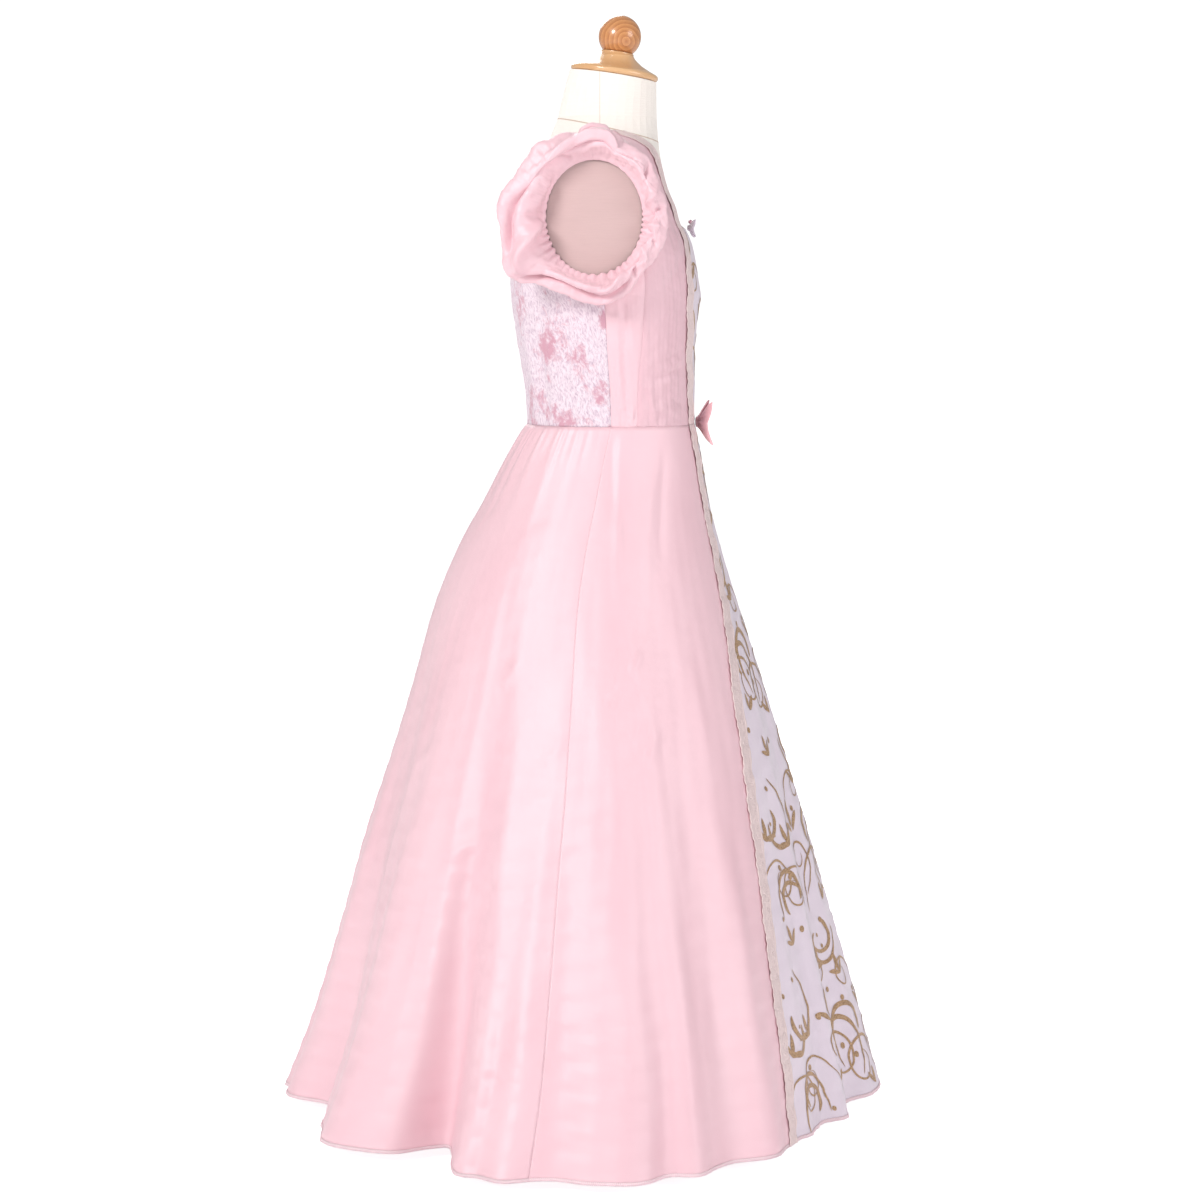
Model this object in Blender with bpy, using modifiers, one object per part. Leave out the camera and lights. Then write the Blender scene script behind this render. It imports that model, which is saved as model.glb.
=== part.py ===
"""A child's princess dress, worn by a limbless dress form that stands on a pole and a round base.

Metres, +Z up. The origin is the middle of the base's underside. The dress faces -Y, and the wearer's
right side is at -X. Each cut panel is a wall between two skins of one smooth surface, and the
neighbouring panels share that surface, so that they meet edge to edge at the seams.
"""

import math
from collections import namedtuple

import bmesh
import bpy
import numpy as np
from mathutils import Vector

for old in list(bpy.data.objects):
    bpy.data.objects.remove(old, do_unlink=True)

SEAM = 0.0003  # between pieces that meet
WALL = 0.0014  # a cloth wall
EASE = 0.0012  # from the surface that the form and the bodice share to the bodice's inside
FORM_CLEAR = 0.0006  # and from it to the form
CLOTH = EASE + WALL  # from the form to the bodice's outer skin

WAIST = 0.680
HEM = 0.010
NECKLINE = 0.874  # top of the white centre panel, at its corners
NECK_DIP = 0.004  # how far the neckline dips at the centre front
SHOULDER = 0.9435  # where the armhole meets the shoulder seam
NECK_POINT = 0.9625  # where the neckline meets the shoulder seam
BACK_NECK = 0.934  # centre of the back neckline

ARM_Y, ARM_Z = 0.0155, 0.8795  # middle of the arm opening
ARM_FLAT = 0.1165  # from the middle to the form's flat sides
PLATE_Y, PLATE_Z, PLATE_THICK = 0.047, 0.056, 0.005  # the oval arm plate
ARMHOLE_Y, ARMHOLE_Z = 0.056, 0.064  # the bodice's armhole
CUFF_Y, CUFF_Z = 0.046, 0.054  # the sleeve's gathered opening
CUFF_X = 0.1238

LACE = 0.018  # width of the lace trim
LACE_WALL = 0.0011
LOOSE = 0.0030  # how far the white centre front stands off the form
LOOSE_FROM, LOOSE_FADE = 0.770, 0.040  # it starts here and grows over this height
NECK_FADE, NECK_SLACK = 0.030, 0.010  # and it runs out over this height, a little above the neckline
BACK_SEAM_SHARE = 0.44  # of the velvet back's height, how much is side seam
SHOULDER_SHARE = 0.22  # of half the back's top, how much is shoulder seam
EDGE = 0.04  # the share of a panel's columns that its narrow column along the lace takes up
RIBBON = 0.0010

NECK_TILT = math.radians(8.5)  # the neck's cut and the cap on it lean forwards
NECK_TOP = 1.0205

POLE_RADIUS = 0.0125
BASE_RADIUS = 0.130
BASE_HEIGHT = 0.018
FORM_FOOT = 0.500

Section = namedtuple("Section", "z front back half_width power")

# The form, and the bodice on it, from the hips to the neck. The half width is the one that the
# section would have without its flat arm sides.
FORM = [
    Section(0.500, -0.0800, 0.0890, 0.0980, 2.2),
    Section(0.512, -0.0845, 0.0950, 0.1045, 2.2),
    Section(0.550, -0.0860, 0.0975, 0.1060, 2.2),
    Section(0.600, -0.0845, 0.0930, 0.1020, 2.2),
    Section(0.645, -0.0820, 0.0835, 0.0950, 2.2),
    Section(0.680, -0.0812, 0.0795, 0.0915, 2.2),
    Section(0.705, -0.0810, 0.0805, 0.0925, 2.2),
    Section(0.740, -0.0815, 0.0855, 0.0960, 2.2),
    Section(0.780, -0.0830, 0.0920, 0.1030, 2.2),
    Section(0.805, -0.0835, 0.0950, 0.1100, 2.2),
    Section(0.825, -0.0815, 0.0960, 0.1230, 2.2),
    Section(0.850, -0.0770, 0.0970, 0.1350, 2.2),
    Section(0.880, -0.0670, 0.0945, 0.1400, 2.2),
    Section(0.910, -0.0565, 0.0860, 0.1370, 2.2),
    Section(0.930, -0.0520, 0.0775, 0.1300, 2.2),
    Section(0.943, -0.0500, 0.0705, 0.1140, 2.2),
    Section(0.953, -0.0485, 0.0645, 0.0850, 2.2),
    Section(0.963, -0.0475, 0.0590, 0.0610, 2.1),
    Section(0.975, -0.0465, 0.0535, 0.0485, 2.0),
    Section(0.992, -0.0462, 0.0490, 0.0445, 2.0),
    Section(1.0205, -0.0460, 0.0405, 0.0425, 2.0),
]

# The skirt without its folds.
SKIRT = [
    Section(0.010, -0.2690, 0.3225, 0.3300, 2.0),
    Section(0.095, -0.2465, 0.2915, 0.3110, 2.0),
    Section(0.178, -0.2230, 0.2680, 0.2890, 2.0),
    Section(0.260, -0.2000, 0.2460, 0.2620, 2.0),
    Section(0.342, -0.1765, 0.2205, 0.2330, 2.0),
    Section(0.423, -0.1520, 0.1960, 0.2030, 2.0),
    Section(0.503, -0.1265, 0.1735, 0.1700, 2.0),
    Section(0.564, -0.1085, 0.1480, 0.1430, 2.0),
    Section(0.603, -0.0985, 0.1260, 0.1240, 2.05),
    Section(0.643, -0.0915, 0.1050, 0.1060, 2.1),
    Section(0.663, -0.0876, 0.0930, 0.0990, 2.15),
    Section(0.680, -0.0838, 0.0821, 0.0941, 2.2),
]

# The skirt's largest folds: where each lies at the hem and at the waist, in degrees round from the
# front (the wearer's right is positive), half its width, its depth as a share of the skirt's half
# width (a ridge is positive) and the height it starts at.
Fold = namedtuple("Fold", "hem_angle waist_angle half_width depth top")
FOLDS = [
    Fold(0, 0, 9, 0.020, 0.60),
    Fold(15, 12, 11, -0.075, 0.58),
    Fold(34, 27, 26, -0.085, 0.50),
    Fold(92, 84, 34, 0.060, 0.56),
    Fold(121, 118, 12, -0.150, 0.42),
    Fold(141, 136, 11, 0.055, 0.56),
    Fold(160, 158, 14, -0.130, 0.50),
    Fold(180, 180, 12, 0.025, 0.60),
    Fold(-16, -12, 11, -0.070, 0.58),
    Fold(-35, -28, 26, -0.080, 0.50),
    Fold(-88, -82, 32, 0.055, 0.56),
    Fold(-118, -115, 12, -0.140, 0.44),
    Fold(-138, -134, 12, 0.055, 0.56),
    Fold(-159, -157, 13, -0.125, 0.50),
]
GATHERS = 30  # small gathers that the back of the skirt has along the waist
GATHER_DEPTH = 0.0016
GATHER_FADE = 0.085  # they run out this far below the waist

# The seams, as degrees round from the front at each height.
Seam = namedtuple("Seam", "z centre princess")
SEAMS = [
    Seam(0.680, 20.5, 74.5),
    Seam(0.720, 23.0, 73.0),
    Seam(0.760, 25.5, 69.5),
    Seam(0.800, 27.0, 67.5),
    Seam(0.830, 25.0, 66.0),
    Seam(0.862, 20.5, 66.0),
    Seam(0.885, 20.0, 66.0),
    Seam(0.910, 22.5, 66.0),
    Seam(0.930, 27.0, 66.0),
    Seam(0.943, 34.0, 66.0),
    Seam(0.953, 48.0, 66.0),
    Seam(0.9625, 76.0, 76.0),
]
SkirtSeam = namedtuple("SkirtSeam", "z lace side")
SKIRT_SEAMS = [
    SkirtSeam(0.010, 44.5, 99.0),
    SkirtSeam(0.140, 43.0, 98.0),
    SkirtSeam(0.233, 40.5, 97.0),
    SkirtSeam(0.325, 38.0, 96.0),
    SkirtSeam(0.416, 34.0, 95.0),
    SkirtSeam(0.510, 25.0, 93.0),
    SkirtSeam(0.570, 20.0, 91.5),
    SkirtSeam(0.620, 19.0, 90.5),
    SkirtSeam(0.680, 20.5, 90.0),
]
SIDE_SEAM = 90.0  # the velvet back starts here

# The puffed sleeve, round its opening from the front (0) over the top (90): how far its outline
# stands from the middle of the opening, and how far out from the body its ridge and its face lie.
Puff = namedtuple("Puff", "angle reach ridge face")
PUFF = [
    Puff(-163, 0.0905, 0.138, 0.147),
    Puff(-149, 0.0975, 0.136, 0.145),
    Puff(-140, 0.0935, 0.133, 0.141),
    Puff(-131, 0.0820, 0.131, 0.136),
    Puff(-112, 0.0775, 0.130, 0.137),
    Puff(-85, 0.0820, 0.130, 0.138),
    Puff(-65, 0.0770, 0.129, 0.136),
    Puff(-48, 0.0685, 0.127, 0.133),
    Puff(-15, 0.0700, 0.128, 0.137),
    Puff(5, 0.0687, 0.129, 0.135),
    Puff(27, 0.0685, 0.129, 0.138),
    Puff(51, 0.0755, 0.130, 0.139),
    Puff(71, 0.0740, 0.129, 0.136),
    Puff(83, 0.0870, 0.132, 0.142),
    Puff(92, 0.0885, 0.133, 0.144),
    Puff(103, 0.0850, 0.133, 0.141),
    Puff(121, 0.0830, 0.135, 0.145),
    Puff(151, 0.0835, 0.138, 0.149),
    Puff(172, 0.0910, 0.140, 0.150),
]


def read(table, column, at):
    """A column of a table, as a smooth curve through its rows that never overshoots them."""
    rows = sorted(table)
    x = np.array([row[0] for row in rows])
    y = np.array([getattr(row, column) for row in rows])
    run = np.diff(x)
    slope = np.diff(y) / run
    before, after = slope[:-1], slope[1:]
    same_way = before * after > 0
    middle = np.where(same_way, 2 * before * after / np.where(same_way, before + after, 1), 0)
    m = np.concatenate([slope[:1], middle, slope[-1:]])
    i = np.clip(np.searchsorted(x, at) - 1, 0, len(run) - 1)
    s = np.clip((at - x[i]) / run[i], 0, 1)
    return (
        y[i] * (2 * s**3 - 3 * s**2 + 1)
        + y[i + 1] * (3 * s**2 - 2 * s**3)
        + m[i] * run[i] * (s**3 - 2 * s**2 + s)
        + m[i + 1] * run[i] * (s**3 - s**2)
    )


def ease(s):
    """0 to 1 with a soft start and end."""
    s = np.clip(s, 0, 1)
    return s * s * (3 - 2 * s)


def section(table, angle, z):
    """The points x, y of a section at height z, angle radians round from the front."""
    front, back, wide, power = (read(table, name, z) for name in Section._fields[1:])
    c, s = np.cos(angle), np.sin(angle)
    x = -wide * np.sign(s) * np.abs(s) ** (2 / power)
    y = (front + back) / 2 - (back - front) / 2 * np.sign(c) * np.abs(c) ** (2 / power)
    return x, y


def body(angle, z):
    """The form's surface, with its flat arm sides and the neck's slanting cut."""
    x, y = section(FORM, angle, z)
    x = x / (1 + (np.abs(x) / ARM_FLAT) ** 16) ** (1 / 16)
    lean = ease((z - 0.975) / (NECK_TOP - 0.975)) * math.tan(NECK_TILT)
    return np.stack([x, y, z + lean * y], axis=-1)


def skirt(angle, z):
    """The skirt's outer skin with its folds, and the gathers of its back under the waist."""
    x, y = section(SKIRT, angle, z)
    down = np.clip((WAIST - z) / (WAIST - HEM), 0, 1)
    turn = np.degrees(angle)
    swell = np.ones_like(x)
    for fold in FOLDS:
        middle = fold.waist_angle + (fold.hem_angle - fold.waist_angle) * down
        off = np.abs((turn - middle + 180) % 360 - 180) / fold.half_width
        grow = np.clip((fold.top - z) / (fold.top - HEM), 0, 1) ** 1.2
        swell = swell + fold.depth * grow * ease(1 - off)
    front, back = read(SKIRT, "front", z), read(SKIRT, "back", z)
    middle_y = (front + back) / 2
    x, y = x * swell, middle_y + (y - middle_y) * swell
    behind = (np.abs(turn) - SIDE_SEAM) / (180 - SIDE_SEAM)
    fade = ease(1 - (WAIST - z) / GATHER_FADE)
    wave = GATHER_DEPTH * (1 + np.cos(GATHERS * 2 * angle + np.pi)) / 2
    puff = np.where(behind > 0, fade * wave, 0)
    size = np.hypot(x, y - middle_y)
    return np.stack([x * (1 + puff / size), y + (y - middle_y) * puff / size, z + 0 * x], axis=-1)


def lifted(surface, a, b, out):
    """The point of a surface at a, b, moved out from it."""
    step = 1e-4
    da = surface(a + step, b) - surface(a - step, b)
    db = surface(a, b + step) - surface(a, b - step)
    normal = np.cross(db, da)
    normal = normal / np.linalg.norm(normal, axis=-1, keepdims=True)
    return surface(a, b) + normal * (out + 0 * a)[:, None]


def turn_for(surface, angle, z, width):
    """The angle that a width along the cloth takes up at a place."""
    step = 1e-3
    reach = np.linalg.norm(surface(angle + step, z) - surface(angle - step, z), axis=-1)
    return width * 2 * step / reach


def angle_at(y, z, front_half):
    """The angle of the form's section that has the given y, on its front or back half."""
    front, back, power = (read(FORM, name, z) for name in ("front", "back", "power"))
    share = ((front + back) / 2 - y) / ((back - front) / 2)
    share = np.clip(share if front_half else -share, 0, 1)
    angle = np.arccos(share ** (power / 2))
    return angle if front_half else np.pi - angle


def armhole(arm_angle, wider=1.0):
    """y and z of the armhole's edge, arm_angle round from the front over the top."""
    return (
        ARM_Y - ARMHOLE_Y * wider * np.cos(arm_angle),
        ARM_Z + ARMHOLE_Z * wider * np.sin(arm_angle),
    )


def side_point(y, z, out):
    """The point of the form's side at a given y and z, moved out."""
    front, back = read(FORM, "front", z), read(FORM, "back", z)
    ahead = y < (front + back) / 2
    angle = np.where(ahead, angle_at(y, z, True), angle_at(y, z, False))
    return lifted(body, angle, z, out)


def sleeve(arm_angle, along):
    """The right sleeve's outer skin, from the armhole (along 0) over the puff to the opening (1)."""
    turn = (np.degrees(arm_angle) + 180) % 360 - 180
    wrapped = [row._replace(angle=row.angle + 360 * k) for k in (-1, 0, 1) for row in PUFF]
    reach, ridge, face = (read(wrapped, name, turn) for name in Puff._fields[1:])
    outwards = np.stack([0 * turn, -np.cos(arm_angle), np.sin(arm_angle)], axis=-1)
    middle = np.array([0, ARM_Y, ARM_Z])

    def at(radius, x):
        return middle + outwards * radius[..., None] - np.array([1, 0, 0]) * (x + 0 * radius)[..., None]

    cuff = 1 / np.hypot(np.cos(arm_angle) / CUFF_Y, np.sin(arm_angle) / CUFF_Z)
    y, z = armhole(arm_angle, 1.04)
    stations = [
        side_point(y, z, CLOTH + SEAM + 0.0003),
        side_point(y, z, CLOTH + 0.0045),
        at(reach - 0.003, ridge - 0.012),
        at(reach, ridge),
        at(reach * 0.9, (ridge + face) / 2 + 0.002),
        at(reach * 0.45 + cuff * 0.55, face),
        at(cuff + 0.0045, CUFF_X + 0.0042 + 0 * face),
        at(cuff, CUFF_X + 0 * face),
    ]
    places = [0, 0.07, 0.32, 0.45, 0.56, 0.76, 0.93, 1]
    k = np.clip(np.searchsorted(places, along) - 1, 0, len(places) - 2)
    grid = np.stack(stations)
    index = np.arange(len(turn))
    knots = np.array(places)
    s = np.clip((along - knots[k]) / (knots[k + 1] - knots[k]), 0, 1)[:, None]

    def point(n):
        return grid[np.clip(n, 0, len(places) - 1), index]

    def slope(n):
        low, high = np.clip(n - 1, 0, len(places) - 1), np.clip(n + 1, 0, len(places) - 1)
        return (point(high) - point(low)) / (knots[high] - knots[low])[:, None]

    run = (knots[k + 1] - knots[k])[:, None]
    return (
        point(k) * (2 * s**3 - 3 * s**2 + 1)
        + point(k + 1) * (3 * s**2 - 2 * s**3)
        + slope(k) * run * (s**3 - 2 * s**2 + s)
        + slope(k + 1) * run * (s**3 - s**2)
    )


dress = bpy.data.collections.new("princess_dress")
bpy.context.scene.collection.children.link(dress)


def finish(name, colour, roughness, metallic=0.0):
    """A material."""
    material = bpy.data.materials.new(name)
    material.use_nodes = True
    shader = material.node_tree.nodes["Principled BSDF"]
    shader.inputs["Base Color"].default_value = (*colour, 1)
    shader.inputs["Roughness"].default_value = roughness
    shader.inputs["Metallic"].default_value = metallic
    return material


PINK_SATIN = (0.80, 0.42, 0.46)
WHITE_SATIN = (0.80, 0.76, 0.86)
VELVET = (0.66, 0.46, 0.56)
GOLD_LACE = (0.72, 0.54, 0.42)
CORAL_SATIN = (0.82, 0.30, 0.33)
JERSEY = (0.86, 0.80, 0.70)
WOOD = (0.62, 0.30, 0.13)
PALE_WOOD = (0.76, 0.52, 0.32)
STEEL = (0.60, 0.60, 0.60)


def keep(bm, name, material):
    """Makes an object of a closed mesh, facing out and shaded smooth."""
    bmesh.ops.recalc_face_normals(bm, faces=bm.faces)
    if bm.calc_volume(signed=True) < 0:
        bmesh.ops.reverse_faces(bm, faces=bm.faces)
    mesh = bpy.data.meshes.new(name)
    bm.to_mesh(mesh)
    bm.free()
    mesh.shade_smooth()
    mesh.set_sharp_from_angle(angle=math.radians(50))
    thing = bpy.data.objects.new(name, mesh)
    thing.data.materials.append(material)
    dress.objects.link(thing)
    return thing


def spread(bm, points, place):
    """Moves a grid's points, whose x and y are its parameters, to where place puts them."""
    values = np.array([v.co for v in points])
    for v, p in zip(points, place(values[:, 0], values[:, 1])):
        v.co = Vector(p)


def panel(name, material, place, across, up, rolled=False):
    """A wall of cloth. place(u, v, skin) gives the points of its outer skin (1) and inner skin (0)
    at the values of u in across and of v in up. A rolled one closes on itself round u."""
    bm = bmesh.new()
    columns, rows = len(across) - 1, len(up) - 1
    bmesh.ops.create_grid(bm, x_segments=columns, y_segments=rows, size=0.5)
    for v in bm.verts:
        i, j = round((v.co.x + 0.5) * columns), round((v.co.y + 0.5) * rows)
        v.co = (across[i], up[j], 0)
    if rolled:
        first, last = across[0], across[-1]
        ends = {
            round(v.co.y, 6): v for v in bm.verts if abs(v.co.x - first) < 1e-7
        }
        merge = {v: ends[round(v.co.y, 6)] for v in bm.verts if abs(v.co.x - last) < 1e-7}
        bmesh.ops.weld_verts(bm, targetmap=merge)
    outer = bm.verts[:]
    grown = bmesh.ops.extrude_face_region(bm, geom=bm.faces[:], use_keep_orig=True)
    inner = [v for v in grown["geom"] if isinstance(v, bmesh.types.BMVert)]
    spread(bm, outer, lambda u, v: place(u, v, 1))
    spread(bm, inner, lambda u, v: place(u, v, 0))
    return keep(bm, name, material)


def even(count, first=0.0, last=1.0):
    return list(np.linspace(first, last, count + 1))


def between(u, first, last, margin_first, margin_last):
    """From the first angle to the last, with a column of its own width along either edge."""
    inner = np.clip((u - EDGE) / (1 - 2 * EDGE), 0, 1)
    return (
        first
        + margin_first * np.clip(u / EDGE, 0, 1)
        + (last - margin_last - first - margin_first) * inner
        + margin_last * np.clip((u - 1 + EDGE) / EDGE, 0, 1)
    )


def columns_with_edges(count):
    """Even columns between a narrow one at each edge."""
    return [0.0] + even(count, EDGE, 1 - EDGE) + [1.0]


BODICE_ROWS = [WAIST + SEAM / 2, 0.705, 0.735, 0.765, 0.790, 0.813, 0.835, 0.856, NECKLINE]
UPPER_ROWS = [0.888, 0.904, 0.920, 0.934, SHOULDER, 0.950, 0.957, NECK_POINT]
SKIRT_ROWS = [
    HEM, 0.060, 0.120, 0.190, 0.265, 0.340, 0.415, 0.485, 0.545, 0.595, 0.632, 0.660, WAIST - SEAM / 2
]


def seam_angle(table, column, z):
    return np.radians(read(table, column, z))


def front_outer_angle(z):
    """The front panel's outer edge: the princess seam, then the armhole, then the shoulder seam."""
    drop = np.clip((z - ARM_Z) / ARMHOLE_Z, -1, 1)
    on_armhole = angle_at(ARM_Y - ARMHOLE_Y * np.sqrt(1 - drop**2), z, True)
    princess = seam_angle(SEAMS, "princess", z)
    return np.where(z < ARM_Z, np.minimum(princess, on_armhole), on_armhole)


def front_inner_edge(z):
    """The front panel's edge along the centre seam and the neckline, and a half lace's turn there."""
    inner = seam_angle(SEAMS, "centre", z)
    inner = inner + turn_for(body, inner, z, SEAM / 2)
    room = front_outer_angle(z) - inner
    return inner, np.minimum(turn_for(body, inner, z, LACE / 2), room / 4)


def centre_panel(u, v, skin):
    """The white centre front, which stands off the form a little below the neckline."""
    last = BODICE_ROWS[-2]
    rise = np.clip((v - last) / (NECKLINE - last), 0, 1)
    z = v - NECK_DIP * (1 - (2 * u - 1) ** 2) * rise
    edge = seam_angle(SEAMS, "centre", z)
    margin = turn_for(body, edge, z, LACE / 2)
    edge = edge - turn_for(body, edge, z, SEAM / 2)
    angle = between(u, -edge, edge, margin, margin)
    held_low = ease((z - LOOSE_FROM) / LOOSE_FADE)
    held_high = ease((NECKLINE + NECK_SLACK - z) / NECK_FADE)
    loose = LOOSE * np.sin(np.pi * u) ** 2 * held_low * held_high
    return lifted(body, angle, z, CLOTH - WALL * (1 - skin) + loose)


def front_panel(side):
    """A pink front, with two columns under the lace along its inner edge."""

    def place(u, z, skin):
        inner, lace = front_inner_edge(z)
        outer = front_outer_angle(z)
        outer = outer - turn_for(body, outer, z, SEAM / 2)
        rest = np.clip((u - 2 * EDGE) / (1 - 2 * EDGE), 0, 1)
        angle = inner + lace * np.clip(u / EDGE, 0, 2) + (outer - inner - 2 * lace) * rest
        return lifted(body, side * angle, z, CLOTH - WALL * (1 - skin))

    return place


def side_panel(side):
    """A pink side, from the princess seam to the velvet, cut off at the armhole."""

    def place(u, v, skin):
        low = WAIST + SEAM / 2
        guess = seam_angle(SEAMS, "princess", 0.83 + 0 * u) * (1 - u) + np.radians(SIDE_SEAM) * u
        y = section(FORM, guess, 0.83 + 0 * u)[1]
        top = ARM_Z - ARMHOLE_Z * np.sqrt(1 - np.clip((ARM_Y - y) / ARMHOLE_Y, -1, 1) ** 2)
        z = low + (top - low) * v
        first = seam_angle(SEAMS, "princess", z)
        first = first + turn_for(body, first, z, SEAM / 2)
        last = np.radians(SIDE_SEAM) - turn_for(body, np.radians(SIDE_SEAM) + 0 * z, z, SEAM / 2)
        return lifted(body, side * (first + (last - first) * u), z, CLOTH - WALL * (1 - skin))

    return place


def back_panel(u, v, skin):
    """The velvet back, between the side seams, the armholes, the shoulder seams and the neckline."""
    seam = np.radians(SIDE_SEAM) + turn_for(
        body, np.radians(SIDE_SEAM) + 0 * u, WAIST + 0 * u, SEAM / 2)
    low, under_arm = WAIST + SEAM / 2, ARM_Z - ARMHOLE_Z + SEAM
    up_seam = np.clip(v / BACK_SEAM_SHARE, 0, 1)
    round_arm = np.clip((v - BACK_SEAM_SHARE) / (1 - BACK_SEAM_SHARE), 0, 1)
    y, z = armhole(-np.pi / 2 - np.pi * round_arm)
    z = np.minimum(z, SHOULDER)
    side_angle = np.where(v <= BACK_SEAM_SHARE, seam, np.maximum(angle_at(y, z, False), seam))
    side_z = np.where(v <= BACK_SEAM_SHARE, low + (under_arm - low) * up_seam, z)
    along = np.clip((np.abs(2 * u - 1) - 1 + SHOULDER_SHARE) / SHOULDER_SHARE, 0, 1)
    neck = np.clip(np.abs(2 * u - 1) / (1 - SHOULDER_SHARE), 0, 1)
    sign = np.sign(u - 0.5)
    top_angle = np.pi + sign * neck * (np.pi - seam)
    top_z = np.where(
        along > 0,
        NECK_POINT + (SHOULDER - NECK_POINT) * along,
        BACK_NECK + (NECK_POINT - BACK_NECK) * neck**2.4,
    )
    bottom_angle = seam + (2 * np.pi - 2 * seam) * u
    corner = (1 - u) * seam + u * (2 * np.pi - seam)
    angle = (
        (1 - v) * bottom_angle + v * top_angle
        + (1 - u) * side_angle + u * (2 * np.pi - side_angle) - corner
    )
    z = (1 - v) * low + v * top_z + side_z - (1 - v) * low - v * SHOULDER
    return lifted(body, angle, z, CLOTH - WALL * (1 - skin))


def trim(side):
    """Lace over the centre seam and on up along the neckline, where all of it is on the pink."""

    def place(u, z, skin):
        inner, lace = front_inner_edge(z)
        last = BODICE_ROWS[-2]
        shift = np.clip((z - last) / (NECKLINE - last), 0, 1)
        angle = inner + lace * (2 * u - 1 + shift)
        return lifted(body, side * angle, z, CLOTH + SEAM + LACE_WALL * skin)

    return place


def skirt_panel(first_seam, last_seam, first_margin, last_margin):
    """A gore of the skirt between two seams, given as functions of the height."""

    def place(u, z, skin):
        first, last = first_seam(z), last_seam(z)
        first = first + turn_for(skirt, first, z, SEAM / 2)
        last = last - turn_for(skirt, last, z, SEAM / 2)
        margins = [turn_for(skirt, seam, z, LACE / 2) * on + (last - first) * EDGE * (1 - on)
                   for seam, on in ((first, first_margin), (last, last_margin))]
        return lifted(skirt, between(u, first, last, *margins), z, -WALL * (1 - skin))

    return place


def skirt_lace(side):
    """The lace band over the seam between the white front and the pink side."""

    def place(u, z, skin):
        seam = seam_angle(SKIRT_SEAMS, "lace", z)
        angle = seam + turn_for(skirt, seam, z, LACE / 2) * (2 * u - 1)
        return lifted(skirt, side * angle, z, SEAM + LACE_WALL * skin)

    return place


def sleeve_place(side):
    def place(u, v, skin):
        turn = u * 2 * np.pi
        step = 1e-3
        across = sleeve(turn + step, v) - sleeve(turn - step, v)
        low, high = np.clip(v - step, 0, 1), np.clip(v + step, 0, 1)
        normal = np.cross(sleeve(turn, high) - sleeve(turn, low), across)
        normal = normal / np.linalg.norm(normal, axis=-1, keepdims=True)
        point = sleeve(turn, v) - normal * WALL * (1 - skin)
        return point * np.array([side, 1, 1])

    return place


def bow_loop(side, middle, reach, knot_half, depth, tall, wall):
    """A ribbon loop, which widens from the knot to its rounded end. reach is from the middle."""
    near, far = knot_half + SEAM + wall / 2, reach - wall / 2

    def place(u, v, skin):
        turn = u * 2 * np.pi
        step = 1e-3

        def path(turn):
            open_share = (1 - np.cos(turn)) / 2
            x = near + (far - near) * open_share
            y = (depth[0] + (depth[1] - depth[0]) * open_share) * np.sin(turn)
            return x, y

        (x0, y0), (x1, y1), (x, y) = path(turn - step), path(turn + step), path(turn)
        length = np.hypot(x1 - x0, y1 - y0)
        nx, ny = (y1 - y0) / length, -(x1 - x0) / length
        off = wall * (skin - 0.5)
        open_share = (1 - np.cos(turn)) / 2
        half = tall[0] + (tall[1] - tall[0]) * open_share**0.8
        return np.stack(
            [side * (x + nx * off), middle[1] + y + ny * off, middle[2] + half * (2 * v - 1)], axis=-1)

    return place


def block(name, material, middle, size, rounding):
    """A knot: a box with rounded edges."""
    bm = bmesh.new()
    bmesh.ops.create_cube(bm, size=1)
    bmesh.ops.scale(bm, vec=Vector(size), verts=bm.verts)
    bmesh.ops.bevel(
        bm, geom=bm.edges[:], offset=rounding, offset_type="OFFSET", segments=2, profile=0.5,
        affect="EDGES", clamp_overlap=True, material=-1)
    thing = keep(bm, name, material)
    thing.location = middle
    return thing


def turned(name, material, profile, middle, tilt=0.0, steps=32):
    """A turned shape from (radius, height) points that run down its outer side."""
    bm = bmesh.new()
    points = [bm.verts.new((radius, 0, height)) for radius, height in profile]
    for a, b in zip(points, points[1:]):
        bm.edges.new((a, b))
    mesh = bpy.data.meshes.new(name)
    bm.to_mesh(mesh)
    bm.free()
    thing = bpy.data.objects.new(name, mesh)
    thing.data.materials.append(material)
    dress.objects.link(thing)
    screw = thing.modifiers.new("turn", "SCREW")
    screw.steps = screw.render_steps = steps
    screw.use_merge_vertices = True
    screw.merge_threshold = 0.00005
    screw.use_smooth_shade = True
    thing.location = middle
    thing.rotation_euler.x = tilt
    return thing


pink = finish("pink satin", PINK_SATIN, 0.35)
white = finish("white satin", WHITE_SATIN, 0.35)
velvet = finish("crushed velvet", VELVET, 0.8)
gold = finish("gold lace", GOLD_LACE, 0.5, 0.5)
coral = finish("coral satin", CORAL_SATIN, 0.4)
jersey = finish("cream jersey", JERSEY, 0.85)
wood = finish("turned wood", WOOD, 0.4)
pale_wood = finish("pale turned wood", PALE_WOOD, 0.4)
steel = finish("brushed steel", STEEL, 0.3, 1.0)

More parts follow.
